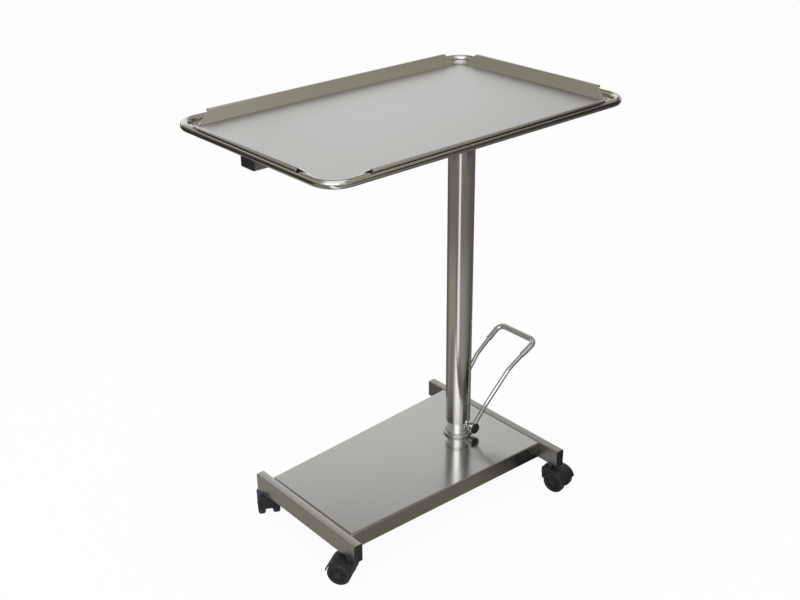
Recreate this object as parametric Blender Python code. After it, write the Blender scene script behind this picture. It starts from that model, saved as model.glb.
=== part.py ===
"""Mayo instrument table: a lift-off tray on a foot-pumped hydraulic column over a castor base.

Metres, +Z up, floor at Z = 0. X runs along the tray and Y across it, with the origin
under the tray's centre. The column stands at +X of the centre and the pedal points to +X.
"""

import math

import bmesh
import bpy
from mathutils import Matrix, Vector

# Fits
CLEAR = 0.0003                   # gap between pieces that touch or slide
ROUND = 28                       # facets round a turned piece of the column
SMALL = 16                       # facets round a small turned piece
DRILLED = 11                     # facets round a drilled hole

# Castors: twin wheels under a hood that swivels on a stem
WHEEL_DIAMETER = 0.050
WHEEL_WIDTH = 0.016
WHEEL_EDGE = 0.005               # rounding of the tread's two edges
WHEEL_DISH = 0.0025              # depth of the ring sunk in a wheel's outer face
WHEEL_RIM = 0.035                # outer and inner diameter of that ring
WHEEL_HUB = 0.015
WHEEL_FACETS = 20
CASTOR_HEIGHT = 0.062            # floor to the underside of a beam
CASTOR_TRAIL = 0.020             # stem to axle, along the floor
CASTOR_INSET = 0.026             # beam end to stem
HOOD_WEB = 0.015                 # thickness between the wheels
HOOD_WALL = 0.0025
HOOD_GAP = 0.0018                # wheel to hood
HOOD_BOSS = 0.020                # diameter of the stem's boss
HOOD_DROP = 0.007                # skirt of the hood above the axle, on the trailing side
HOOD_NOSE = 0.020                # axle to the foot of the boss's upright front
HOOD_FOOT = 0.009                # web past the axle, forwards, backwards and down
COLLAR_HEIGHT = 0.005            # stem collar between hood and beam
COLLAR_DIAMETER = 0.017
STEM_DIAMETER = 0.008
STEM_DEPTH = 0.018               # stem inside the hood
STEM_RISE = 0.024                # stem inside the beam
AXLE_DIAMETER = 0.006
CASTOR_HEADINGS = {              # degrees that the trailing wheels point to in plan
    "front_left": 60.0,
    "front_right": 120.0,
    "rear_left": 20.0,
    "rear_right": 280.0,
}

# Base: two cross beams and a folded plate that narrows to the front
BEAM_WIDTH = 0.020
BEAM_HEIGHT = 0.040
TUBE_WALL = 0.0015
TUBE_CORNER = 0.0022
FRONT_BEAM_LENGTH = 0.336
REAR_BEAM_LENGTH = 0.423
PLATE_LENGTH = 0.522
PLATE_FRONT_WIDTH = 0.267
PLATE_REAR_WIDTH = 0.314
PLATE_SHEET = 0.0015
PLATE_SKIRT = 0.037
PLATE_BEND = 0.0025
PLATE_RISE = 0.0006              # plate top above the beams' tops
CHANNEL_WIDTH = 0.090            # stiffener under the plate
CHANNEL_DEPTH = 0.026
CHANNEL_SHEET = 0.0025
PLUG_CAP = 0.002                 # push-in plugs of the tube ends
PLUG_DEPTH = 0.014

# Column
COLUMN_X = 0.147                 # tray centre to column axis
COLUMN_TO_REAR = 0.103           # column axis to the plate's rear end
FLANGE_DIAMETER = 0.066
FLANGE_HEIGHT = 0.005
FLANGE_BOLT_CIRCLE = 0.058
HOUSING_DIAMETER = 0.0494
HOUSING_HEIGHT = 0.054
HOUSING_CAVITY = 0.036           # bore that the pump finger swings in
HOUSING_ROOF = 0.014
CYLINDER_BORE = 0.042
CYLINDER_LENGTH = 0.506
GLAND_DEPTH = 0.025
GLAND_HEAD = 0.006
PISTON_LENGTH = 0.024
PISTON_REST = 0.008              # piston above the housing when fully down
SEAL_WIDTH = 0.005
SEAL_DEPTH = 0.003
ROD_DIAMETER = 0.020
ROD_SEAT = 0.030                 # rod inside the head plug
SLEEVE_DIAMETER = 0.056
SLEEVE_WALL = 0.002
SLEEVE_FOOT = 0.034              # plate to the sleeve's lower end
GUIDE_LENGTH = 0.030
HEAD_PLUG_LENGTH = 0.050
HEAD_PLATE_LENGTH = 0.110
HEAD_PLATE_WIDTH = 0.060
HEAD_PLATE_SHEET = 0.005
HEAD_PLATE_CORNER = 0.008
SCREW_DIAMETER = 0.005
SCREW_HEAD = 0.008               # across flats
SCREW_HEAD_HEIGHT = 0.0035

# Tray: a ring of round tube on one longitudinal arm, and a loose sheet pan
RING_LENGTH = 0.747              # over the tube
RING_WIDTH = 0.482
RING_TUBE = 0.016
RING_WALL = 0.0015
RING_BEND = 0.042                # corner radius on the tube's centre line
RING_HEIGHT = 0.8855             # floor to the tube's centre line, fully lowered
RING_JOINT = 0.0006              # butt joint of the tube, over the arm's rear end
ARM_WIDTH = 0.040
ARM_HEIGHT = 0.020
ARM_OVERHANG = 0.0005            # arm end past the ring's centre line
PAN_SHEET = 0.0012
PAN_FLARE = math.radians(45.0)   # tilt of the walls, which lie on the ring
PAN_RISE = 0.0127                # ring centre line to the top of the walls
PAN_ROLL = 0.0045                # radius of the walls' top edge, which curls out over the ring
PAN_BEND = 0.010
PAN_WALL_INSET = 0.040           # ring's corner to a wall's foot
PAN_WALL_SLANT = 0.020           # how much shorter the top edge is, at each end
PAN_SLOT = 0.0035                # slot between a wall's end and a corner tab
PAN_TAB_RISE = 0.004             # ring centre line to the edge of a corner tab
PAN_NOTCH = 0.0025               # relief cut at the foot of each wall end

# Pedal and pump
PIVOT_X = 0.015                  # column axis to pedal shaft
PIVOT_RISE = 0.019               # plate to pedal shaft
SHAFT_DIAMETER = 0.010
BUSH_WALL = 0.002
BUSH_FLANGE = 0.0172
BUSH_REACH = 0.0290              # column axis to the bush's outer face
BUSH_LENGTH = 0.012
HUB_DIAMETER = 0.026
HUB_LENGTH = 0.0105
CAP_DIAMETER = 0.0245
CAP_LENGTH = 0.0032
CAP_PIN = 0.004                  # spigot that holds the cap in the shaft's end
CAP_PIN_DEPTH = 0.006
LEG_DIAMETER = 0.010
TREAD_DIAMETER = 0.0136
TREAD_LAP = 0.014                # leg inside the tread's tube
TREAD_BEND = 0.016
LEG_BEND = 0.030
LEG_BOW = 0.120                  # gentle bend near the hub
LEG_BOW_AT = (0.043, 0.044, 0.0715)      # from the column axis on the plate: X, half span, Z
LEG_KNEE_AT = (0.108, 0.050, 0.1415)
TREAD_FOOT_AT = (0.148, 0.053, 0.1660)
TREAD_CORNER_AT = (0.188, 0.056, 0.1875)
FINGER_REACH = 0.013             # shaft to the finger's tip
FINGER_THICKNESS = 0.007
FINGER_WIDTH = 0.008
FINGER_COLLAR = 0.014
PLUNGER_DIAMETER = 0.007
PLUNGER_LENGTH = 0.024

# Levels and places worked out from the sizes above
BEAM_TOP = CASTOR_HEIGHT + BEAM_HEIGHT
PLATE_TOP = BEAM_TOP + PLATE_RISE
PLATE_REAR = COLUMN_X + COLUMN_TO_REAR
PLATE_FRONT = PLATE_REAR - PLATE_LENGTH
FRONT_BEAM_X = PLATE_FRONT - CLEAR - BEAM_WIDTH / 2
REAR_BEAM_X = PLATE_REAR + CLEAR + BEAM_WIDTH / 2
COLUMN_FOOT = PLATE_TOP + CLEAR
HOUSING_TOP = COLUMN_FOOT + HOUSING_HEIGHT
CYLINDER_TOP = HOUSING_TOP + CLEAR + CYLINDER_LENGTH
RING_HALF_LENGTH = (RING_LENGTH - RING_TUBE) / 2
RING_HALF_WIDTH = (RING_WIDTH - RING_TUBE) / 2
ARM_TOP = RING_HEIGHT - RING_TUBE / 2 - CLEAR
ARM_FOOT = ARM_TOP - ARM_HEIGHT
ARM_HALF_LENGTH = RING_HALF_LENGTH + ARM_OVERHANG
HEAD_PLATE_TOP = ARM_FOOT - CLEAR
SLEEVE_TOP = HEAD_PLATE_TOP - HEAD_PLATE_SHEET - CLEAR
SLEEVE_BORE = SLEEVE_DIAMETER - 2 * SLEEVE_WALL
PIVOT = Vector((COLUMN_X + PIVOT_X, 0.0, PLATE_TOP + PIVOT_RISE))
HUB_START = BUSH_REACH + CLEAR
HUB_END = HUB_START + HUB_LENGTH


def look(name, colour, roughness, metallic):
    """One Principled material for one piece."""
    made = bpy.data.materials.new(name)
    made.use_nodes = True
    shader = made.node_tree.nodes["Principled BSDF"]
    shader.inputs["Base Color"].default_value = (*colour, 1.0)
    shader.inputs["Roughness"].default_value = roughness
    shader.inputs["Metallic"].default_value = metallic
    return made


FINISHES = {
    "polished": ((0.72, 0.71, 0.68), 0.12, 1.0),
    "satin": ((0.62, 0.62, 0.60), 0.32, 1.0),
    "turned": ((0.55, 0.55, 0.54), 0.25, 1.0),
    "bronze": ((0.55, 0.38, 0.18), 0.35, 1.0),
    "zinc": ((0.60, 0.61, 0.62), 0.40, 1.0),
    "black_plastic": ((0.018, 0.018, 0.020), 0.45, 0.0),
    "tread_rubber": ((0.030, 0.030, 0.032), 0.60, 0.0),
    "white_plastic": ((0.75, 0.75, 0.72), 0.45, 0.0),
    "seal_rubber": ((0.020, 0.020, 0.020), 0.70, 0.0),
}


def axis(name, location, parent=None, turn=0.0):
    """An empty on a joint's axis, turned about Z."""
    made = bpy.data.objects.new(name, None)
    bpy.context.collection.objects.link(made)
    made.parent = parent
    made.location = location
    made.rotation_euler = (0.0, 0.0, turn)
    return made


def piece(name, mesh, finish, parent, location=(0.0, 0.0, 0.0), rotation=(0.0, 0.0, 0.0)):
    """A named object with its own material, placed in its parent's frame."""
    made = bpy.data.objects.new(name, mesh)
    bpy.context.collection.objects.link(made)
    made.parent = parent
    made.location = location
    made.rotation_euler = rotation
    if not mesh.materials:
        mesh.materials.append(None)
    made.material_slots[0].link = "OBJECT"
    made.material_slots[0].material = look(name + "_finish", *FINISHES[finish])
    return made


def to_mesh(bm, name):
    """Close a bmesh into a mesh with outward faces and smooth round sides."""
    bmesh.ops.recalc_face_normals(bm, faces=bm.faces)
    mesh = bpy.data.meshes.new(name)
    bm.to_mesh(mesh)
    bm.free()
    mesh.shade_smooth()
    mesh.set_sharp_from_angle(angle=math.radians(32.0))
    return mesh


def turned(name, profile, facets=ROUND):
    """(radius, height) points turned about Z: a closed loop, or a chain from axis to axis."""
    bm = bmesh.new()
    rings = []
    for radius, height in profile:
        count = facets if radius > 0.0 else 1
        angles = [2.0 * math.pi * i / facets for i in range(count)]
        rings.append([bm.verts.new((radius * math.cos(a), radius * math.sin(a), height)) for a in angles])
    pairs = list(zip(rings, rings[1:]))
    if profile[0][0] > 0.0:
        pairs.append((rings[-1], rings[0]))
    for low, high in pairs:
        for i in range(facets):
            j = (i + 1) % facets
            corners = (low[i % len(low)], low[j % len(low)], high[j % len(high)], high[i % len(high)])
            bm.faces.new(dict.fromkeys(corners))
    return to_mesh(bm, name)


def bush_profile(inner, outer, low, high):
    """Closed (radius, height) loop of a plain ring, from two diameters."""
    return [(inner / 2, low), (outer / 2, low), (outer / 2, high), (inner / 2, high)]


def lofted(name, loops, tube=False):
    """Loops of 3-D points of equal count, bridged in turn; capped, or closed on itself."""
    bm = bmesh.new()
    rows = [[bm.verts.new(point) for point in loop] for loop in loops]
    pairs = list(zip(rows, rows[1:]))
    if tube:
        pairs.append((rows[-1], rows[0]))
    else:
        bm.faces.new(rows[0])
        bm.faces.new(rows[-1])
    for low, high in pairs:
        for i in range(len(low)):
            j = (i + 1) % len(low)
            bm.faces.new((low[i], low[j], high[j], high[i]))
    return to_mesh(bm, name)


def rounded_rectangle(length, width, corner, steps=2):
    """Plan outline, anticlockwise, with the corners as arcs."""
    points = []
    for quarter, (sx, sy) in enumerate(((1, 1), (-1, 1), (-1, -1), (1, -1))):
        centre = (sx * (length / 2 - corner), sy * (width / 2 - corner))
        for step in range(steps + 1):
            angle = math.pi / 2 * (quarter + step / steps)
            points.append((centre[0] + corner * math.cos(angle), centre[1] + corner * math.sin(angle)))
    return points


def at_level(outline, level):
    """A plan outline as a loop at one height."""
    return [(x, y, level) for x, y in outline]


def rectangular_tube(name, across, up, length):
    """Tube along Z, centred, open at both ends."""
    outer = rounded_rectangle(across, up, TUBE_CORNER)
    inner = rounded_rectangle(across - 2 * TUBE_WALL, up - 2 * TUBE_WALL, TUBE_CORNER - TUBE_WALL)
    half = length / 2
    loops = [at_level(outer, -half), at_level(outer, half), at_level(inner, half), at_level(inner, -half)]
    return lofted(name, loops, tube=True)


def tube_plug(name, across, up):
    """Push-in end plug: a flat cap on Z = 0 and a spigot that goes into the tube towards +Z."""
    cap = rounded_rectangle(across, up, TUBE_CORNER)
    shrink = 2 * (TUBE_WALL + CLEAR)
    spigot = rounded_rectangle(across - shrink, up - shrink, TUBE_CORNER - TUBE_WALL)
    levels = (-PLUG_CAP, -CLEAR, -CLEAR, PLUG_DEPTH)
    loops = [at_level(line, level) for line, level in zip((cap, cap, spigot, spigot), levels)]
    return lofted(name, loops)


def filleted(points, radii, steps=6):
    """A 3-D route with each inner corner replaced by an arc."""
    route = [points[0]]
    for before, corner, after, radius in zip(points, points[1:], points[2:], radii):
        into, out = (before - corner).normalized(), (after - corner).normalized()
        half = into.angle(out) / 2
        centre = corner + (into + out).normalized() * (radius / math.sin(half))
        start = corner + into * (radius / math.tan(half)) - centre
        end = corner + out * (radius / math.tan(half)) - centre
        turn = start.angle(end)
        for step in range(steps + 1):
            share = step / steps
            arm = start * math.sin((1 - share) * turn) + end * math.sin(share * turn)
            route.append(centre + arm / math.sin(turn))
    return route + [points[-1]]


def swept(name, route, outer, inner=0.0, facets=16):
    """Round rod along a route, or an open-ended tube where an inner diameter is given."""
    legs = [(b - a).normalized() for a, b in zip(route, route[1:])]
    runs = [legs[0]] + [(a + b).normalized() for a, b in zip(legs, legs[1:])] + [legs[-1]]
    side = runs[0].orthogonal().normalized()
    frames = []
    for point, run in zip(route, runs):
        side = (side - run * side.dot(run)).normalized()
        frames.append((point, side, run.cross(side)))

    def loops(diameter):
        angles = [2.0 * math.pi * i / facets for i in range(facets)]
        radius = diameter / 2
        return [[p + (u * math.cos(a) + v * math.sin(a)) * radius for a in angles] for p, u, v in frames]

    if inner > 0.0:
        return lofted(name, loops(outer) + loops(inner)[::-1], tube=True)
    return lofted(name, loops(outer))


def cutter(name, mesh, parent, location=(0.0, 0.0, 0.0), rotation=(0.0, 0.0, 0.0)):
    """A hidden tool body for a cut."""
    made = bpy.data.objects.new(name, mesh)
    bpy.context.collection.objects.link(made)
    made.parent = parent
    made.location = location
    made.rotation_euler = rotation
    made.hide_render = True
    made.display_type = "WIRE"
    return made


def cut(target, tool):
    """Take a tool body out of a piece."""
    change = target.modifiers.new(tool.name, "BOOLEAN")
    change.operation = "DIFFERENCE"
    change.object = tool


def drill(target, name, parent, diameter, depth, location, rotation=(0.0, 0.0, 0.0)):
    """Cut a round hole, centred on its place, along its own Z."""
    profile = [(0.0, -depth / 2), (diameter / 2, -depth / 2), (diameter / 2, depth / 2), (0.0, depth / 2)]
    cut(target, cutter(name, turned(name, profile, DRILLED), parent, location, rotation))


def hexagon(across_flats):
    """Plan outline of a screw head."""
    radius = across_flats / math.sqrt(3.0)
    return [(radius * math.cos(math.pi / 3 * i), radius * math.sin(math.pi / 3 * i)) for i in range(6)]


def screw(name, length):
    """Hex head below Z = 0 and a plain shank above it."""
    shank = [(SCREW_DIAMETER / 2 * math.cos(math.pi / 6 * i), SCREW_DIAMETER / 2 * math.sin(math.pi / 6 * i))
             for i in range(12)]
    head = []
    for start, end in zip(hexagon(SCREW_HEAD), hexagon(SCREW_HEAD)[1:] + hexagon(SCREW_HEAD)[:1]):
        head += [start, ((start[0] + end[0]) / 2, (start[1] + end[1]) / 2)]
    levels = (-SCREW_HEAD_HEIGHT, 0.0, 0.0, length)
    return lofted(name, [at_level(line, level) for line, level in zip((head, head, shank, shank), levels)])


# Base

def base_plate(frame):
    """Folded sheet: a tapered top and a skirt all round, open below."""
    top = [(PLATE_FRONT, -PLATE_FRONT_WIDTH / 2), (PLATE_REAR, -PLATE_REAR_WIDTH / 2),
           (PLATE_REAR, PLATE_REAR_WIDTH / 2), (PLATE_FRONT, PLATE_FRONT_WIDTH / 2)]
    bm = bmesh.new()
    upper = [bm.verts.new((x, y, 0.0)) for x, y in top]
    lower = [bm.verts.new((x, y, -PLATE_SKIRT)) for x, y in top]
    bm.faces.new(upper)
    for i in range(4):
        j = (i + 1) % 4
        bm.faces.new((lower[i], lower[j], upper[j], upper[i]))
    plate = piece("base_plate", to_mesh(bm, "base_plate"), "satin", frame, (0.0, 0.0, PLATE_TOP))
    folds = plate.modifiers.new("folds", "BEVEL")
    folds.width = PLATE_BEND
    folds.segments = 2
    sheet = plate.modifiers.new("sheet", "SOLIDIFY")
    sheet.thickness = PLATE_SHEET
    sheet.offset = -1.0
    sheet.use_even_offset = True
    return plate


def base_channel(frame):
    """Upturned channel under the plate that spreads the column's load to the beams."""
    length = PLATE_LENGTH - 2 * (PLATE_SHEET + PLATE_BEND + CLEAR)
    half, inner = CHANNEL_WIDTH / 2, CHANNEL_WIDTH / 2 - CHANNEL_SHEET
    deep, web = -CHANNEL_DEPTH, -CHANNEL_SHEET
    section = [(-half, deep), (-inner, deep), (-inner, web), (inner, web), (inner, deep), (half, deep),
               (half, 0.0), (-half, 0.0)]
    ends = [[(x, y, z) for y, z in section] for x in (-length / 2, length / 2)]
    place = ((PLATE_FRONT + PLATE_REAR) / 2, 0.0, PLATE_TOP - PLATE_SHEET - CLEAR)
    return piece("base_channel", lofted("base_channel", ends), "zinc", frame, place)


def flange_bolts():
    """Plan places of the screws that hold the column down."""
    reach = FLANGE_BOLT_CIRCLE / 2
    angles = [math.pi / 4 + math.pi / 2 * i for i in range(4)]
    return [(COLUMN_X + reach * math.cos(a), reach * math.sin(a)) for a in angles]


def column_fixing(frame, plate, channel):
    """Column flange on the plate, and the screws that reach it from below."""
    hole = SCREW_DIAMETER + 2 * CLEAR
    bore = HOUSING_DIAMETER + 2 * CLEAR
    chamfer = FLANGE_HEIGHT / 3
    profile = [(bore / 2, 0.0), (FLANGE_DIAMETER / 2, 0.0), (FLANGE_DIAMETER / 2, FLANGE_HEIGHT - chamfer),
               (FLANGE_DIAMETER / 2 - chamfer, FLANGE_HEIGHT), (bore / 2, FLANGE_HEIGHT)]
    flange = piece("column_flange", turned("column_flange", profile), "polished", frame,
                   (COLUMN_X, 0.0, COLUMN_FOOT))
    channel_foot = PLATE_TOP - PLATE_SHEET - CLEAR - CHANNEL_SHEET
    head_top = channel_foot - CLEAR
    thread = FLANGE_HEIGHT - chamfer - 2 * CLEAR
    bolt = screw("column_screw", COLUMN_FOOT + thread - head_top)
    for number, (x, y) in enumerate(flange_bolts()):
        for target in (plate, channel):
            name = "%s_hole_%d" % (target.name, number)
            drill(target, name, frame, hole, 2 * CHANNEL_DEPTH, (x, y, PLATE_TOP))
        drill(flange, "flange_hole_%d" % number, frame, hole, 2 * (thread + CLEAR), (x, y, COLUMN_FOOT))
        piece("column_screw_%d" % (number + 1), bolt, "zinc", frame, (x, y, head_top))


def stem_place(beam_x, beam_length, side):
    """Where a castor's stem meets the underside of its beam."""
    return Vector((beam_x, side * (beam_length / 2 - CASTOR_INSET), CASTOR_HEIGHT))


def beam(frame, name, x, length):
    """Cross beam of rectangular tube with a plug in each end and a hole for each castor stem."""
    run = length - 2 * PLUG_CAP
    centre = CASTOR_HEIGHT + BEAM_HEIGHT / 2
    mesh = rectangular_tube(name + "_beam", BEAM_WIDTH, BEAM_HEIGHT, run)
    tube = piece(name + "_beam", mesh, "satin", frame, (x, 0.0, centre), (math.pi / 2, 0.0, 0.0))
    for side, word in ((1, "left"), (-1, "right")):
        hole = stem_place(x, length, side)
        drill(tube, "%s_%s_stem_hole" % (name, word), frame, STEM_DIAMETER + 2 * CLEAR, BEAM_HEIGHT, hole)
        plug = "beam_plug_%s_%s" % (name, word)
        piece(plug, tube_plug(plug, BEAM_WIDTH, BEAM_HEIGHT), "black_plastic", frame,
              (x, side * run / 2, centre), (side * math.pi / 2, 0.0, 0.0))


# Castors

def wheel_mesh():
    """Wheel turned about Z, inner face on Z = 0, with round tread edges and a sunk outer face."""
    radius, edge, bore = WHEEL_DIAMETER / 2, WHEEL_EDGE, AXLE_DIAMETER / 2 + CLEAR
    steps = 2
    profile = [(bore, 0.0)]
    for step in range(steps + 1):
        angle = math.pi / 2 * step / steps
        profile.append((radius - edge + edge * math.sin(angle), edge - edge * math.cos(angle)))
    for step in range(steps + 1):
        angle = math.pi / 2 * step / steps
        profile.append((radius - edge + edge * math.cos(angle), WHEEL_WIDTH - edge + edge * math.sin(angle)))
    rim, hub = WHEEL_RIM / 2, WHEEL_HUB / 2
    profile += [(rim, WHEEL_WIDTH), (rim - WHEEL_DISH, WHEEL_WIDTH - WHEEL_DISH),
                (hub + WHEEL_DISH, WHEEL_WIDTH - WHEEL_DISH), (hub, WHEEL_WIDTH), (bore, WHEEL_WIDTH)]
    return turned("castor_wheel", profile, WHEEL_FACETS)


def hood_outline():
    """Side outline of the hood in X and Z: an arch over the wheels and a boss under the stem."""
    arch = WHEEL_DIAMETER / 2 + HOOD_GAP + HOOD_WALL
    axle_x, axle_z = -CASTOR_TRAIL, WHEEL_DIAMETER / 2
    boss, top = HOOD_BOSS / 2, CASTOR_HEIGHT - COLLAR_HEIGHT - 2 * CLEAR
    back = math.pi - math.asin(HOOD_DROP / arch)
    points = []
    steps = 7
    for step in range(steps + 1):
        angle = back + (math.pi / 2 - back) * step / steps
        points.append((axle_x + arch * math.cos(angle), axle_z + arch * math.sin(angle)))
    points += [(-boss, axle_z + arch), (-boss, top), (boss, top)]
    points += [(boss, axle_z + HOOD_NOSE), (boss - HOOD_WALL, axle_z)]
    points += [(axle_x + HOOD_FOOT, axle_z - HOOD_FOOT), (axle_x - HOOD_FOOT, axle_z - HOOD_FOOT)]
    return points


def hood_mesh():
    """Moulded hood: the arched block with a pocket for each wheel and bores for stem and axle."""
    half = HOOD_WEB / 2 + CLEAR + WHEEL_WIDTH
    block = lofted("hood_block", [[(x, y, z) for x, z in hood_outline()] for y in (-half, half)])
    blank = piece("hood_blank", block, "black_plastic", None)
    tools = []
    depth, radius = WHEEL_WIDTH + HOOD_WALL + CLEAR, WHEEL_DIAMETER / 2 + HOOD_GAP
    pocket = [(0.0, 0.0), (radius, 0.0), (radius, depth), (0.0, depth)]
    for side in (1, -1):
        place = (-CASTOR_TRAIL, side * HOOD_WEB / 2, WHEEL_DIAMETER / 2)
        tools.append(cutter("wheel_pocket", turned("wheel_pocket", pocket, 22), None, place,
                            (-side * math.pi / 2, 0.0, 0.0)))
    stem_foot = CASTOR_HEIGHT - COLLAR_HEIGHT - 2 * CLEAR - STEM_DEPTH
    drill(blank, "stem_bore", None, STEM_DIAMETER + 2 * CLEAR, 2 * (STEM_DEPTH + CLEAR),
          (0.0, 0.0, stem_foot + STEM_DEPTH))
    drill(blank, "axle_bore", None, AXLE_DIAMETER + 2 * CLEAR, 4 * half,
          (-CASTOR_TRAIL, 0.0, WHEEL_DIAMETER / 2), (math.pi / 2, 0.0, 0.0))
    for tool in tools:
        cut(blank, tool)
    bpy.context.view_layer.update()
    shaped = bpy.data.meshes.new_from_object(blank.evaluated_get(bpy.context.evaluated_depsgraph_get()))
    tools += [change.object for change in blank.modifiers if change.object not in tools]
    for done in [blank] + tools:
        bpy.data.objects.remove(done)
    return shaped


def castors(frame):
    """Four swivel castors; each has its stem in the beam, and its hood and wheels on their own axes."""
    hood, wheel = hood_mesh(), wheel_mesh()
    axle_span = HOOD_WEB + 2 * (CLEAR + WHEEL_WIDTH)
    axle = turned("castor_axle", [(0.0, -axle_span / 2), (AXLE_DIAMETER / 2, -axle_span / 2),
                                  (AXLE_DIAMETER / 2, axle_span / 2), (0.0, axle_span / 2)], 12)
    collar_foot = CASTOR_HEIGHT - CLEAR - COLLAR_HEIGHT
    stem_radius, collar = STEM_DIAMETER / 2, COLLAR_DIAMETER / 2
    low, high = collar_foot - STEM_DEPTH, CASTOR_HEIGHT + STEM_RISE
    seat = CASTOR_HEIGHT - CLEAR
    stem = turned("castor_stem", [(0.0, low), (stem_radius, low), (stem_radius, collar_foot),
                                  (collar, collar_foot), (collar, seat), (stem_radius, seat),
                                  (stem_radius, high), (0.0, high)], 14)
    ends = (("front", FRONT_BEAM_X, FRONT_BEAM_LENGTH), ("rear", REAR_BEAM_X, REAR_BEAM_LENGTH))
    for end, x, length in ends:
        for side, word in ((1, "left"), (-1, "right")):
            corner = "%s_%s" % (end, word)
            place = stem_place(x, length, side)
            foot = (place.x, place.y, 0.0)
            piece("castor_stem_" + corner, stem, "zinc", frame, foot)
            turn = math.radians(CASTOR_HEADINGS[corner] - 180.0)
            swivel = axis("castor_swivel_" + corner, foot, frame, turn)
            piece("castor_hood_" + corner, hood, "black_plastic", swivel)
            spin = axis("castor_spin_" + corner, (-CASTOR_TRAIL, 0.0, WHEEL_DIAMETER / 2), swivel)
            lying = (math.pi / 2, 0.0, 0.0)
            piece("castor_axle_" + corner, axle, "zinc", spin, rotation=lying)
            for way, letter in ((1, "a"), (-1, "b")):
                piece("castor_wheel_%s_%s" % (corner, letter), wheel, "tread_rubber", spin,
                      (0.0, way * (HOOD_WEB / 2 + CLEAR), 0.0), (-way * math.pi / 2, 0.0, 0.0))


# Column

def pump_housing(frame):
    """Pump body at the column's foot: a cup over the finger, bored across for the pedal shaft."""
    radius, cavity = HOUSING_DIAMETER / 2, HOUSING_CAVITY / 2
    ceiling = HOUSING_HEIGHT - HOUSING_ROOF
    profile = [(0.0, ceiling), (cavity, ceiling), (cavity, 0.0), (radius, 0.0), (radius, HOUSING_HEIGHT),
               (0.0, HOUSING_HEIGHT)]
    housing = piece("pump_housing", turned("pump_housing", profile), "turned", frame,
                    (COLUMN_X, 0.0, COLUMN_FOOT))
    bush = SHAFT_DIAMETER + 2 * CLEAR + 2 * BUSH_WALL
    drill(housing, "bush_bore", frame, bush + 2 * CLEAR, 2 * HOUSING_DIAMETER, PIVOT, (math.pi / 2, 0.0, 0.0))
    drill(housing, "plunger_bore", frame, PLUNGER_DIAMETER + 2 * CLEAR, 2 * HOUSING_ROOF + 2 * CLEAR,
          (PIVOT.x - FINGER_REACH, 0.0, HOUSING_TOP - HOUSING_ROOF / 2))


def shaft_bushes(frame):
    """Two flanged bushes that carry the pedal shaft in the housing's walls."""
    inner = SHAFT_DIAMETER / 2 + CLEAR
    outer = inner + BUSH_WALL
    seat = math.sqrt((HOUSING_DIAMETER / 2) ** 2 - (PIVOT_X - outer) ** 2) + CLEAR
    profile = [(inner, BUSH_REACH - BUSH_LENGTH), (outer, BUSH_REACH - BUSH_LENGTH), (outer, seat),
               (BUSH_FLANGE / 2, seat), (BUSH_FLANGE / 2, BUSH_REACH), (inner, BUSH_REACH)]
    single = turned("shaft_bush", profile, SMALL)
    for side, word in ((1, "left"), (-1, "right")):
        piece("shaft_bush_" + word, single, "polished", frame, PIVOT, (-side * math.pi / 2, 0.0, 0.0))


def cylinder(frame):
    """Fixed hydraulic cylinder with the gland that guides the rod and the sleeve."""
    foot = HOUSING_TOP + CLEAR
    tube = turned("cylinder_tube", bush_profile(CYLINDER_BORE, HOUSING_DIAMETER, 0.0, CYLINDER_LENGTH))
    piece("cylinder_tube", tube, "turned", frame, (COLUMN_X, 0.0, foot))
    bore, plug, head = ROD_DIAMETER / 2 + CLEAR, CYLINDER_BORE / 2 - CLEAR, SLEEVE_BORE / 2 - CLEAR
    profile = [(bore, -GLAND_DEPTH), (plug, -GLAND_DEPTH), (plug, CLEAR), (head, CLEAR),
               (head, CLEAR + GLAND_HEAD), (bore, CLEAR + GLAND_HEAD)]
    piece("gland_bush", turned("gland_bush", profile), "bronze", frame, (COLUMN_X, 0.0, CYLINDER_TOP))


def ram(lift):
    """Piston, its seal and the rod that pushes the head up; the lift empty stands on the housing's top."""
    outer, groove, rod = CYLINDER_BORE / 2 - CLEAR, CYLINDER_BORE / 2 - CLEAR - SEAL_DEPTH, ROD_DIAMETER / 2
    low, high = PISTON_REST, PISTON_REST + PISTON_LENGTH
    middle = (low + high) / 2
    slot = SEAL_WIDTH / 2 + CLEAR
    profile = [(0.0, low), (outer, low), (outer, middle - slot), (groove, middle - slot),
               (groove, middle + slot), (outer, middle + slot), (outer, high), (0.0, high)]
    piece("ram_piston", turned("ram_piston", profile), "turned", lift)
    seal = bush_profile(2 * (groove + CLEAR), 2 * outer, middle - SEAL_WIDTH / 2, middle + SEAL_WIDTH / 2)
    piece("piston_seal", turned("piston_seal", seal), "seal_rubber", lift)
    top = SLEEVE_TOP - HOUSING_TOP - HEAD_PLUG_LENGTH + ROD_SEAT
    body = [(0.0, high + CLEAR), (rod, high + CLEAR), (rod, top), (0.0, top)]
    piece("ram_rod", turned("ram_rod", body, SMALL), "polished", lift)


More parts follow.
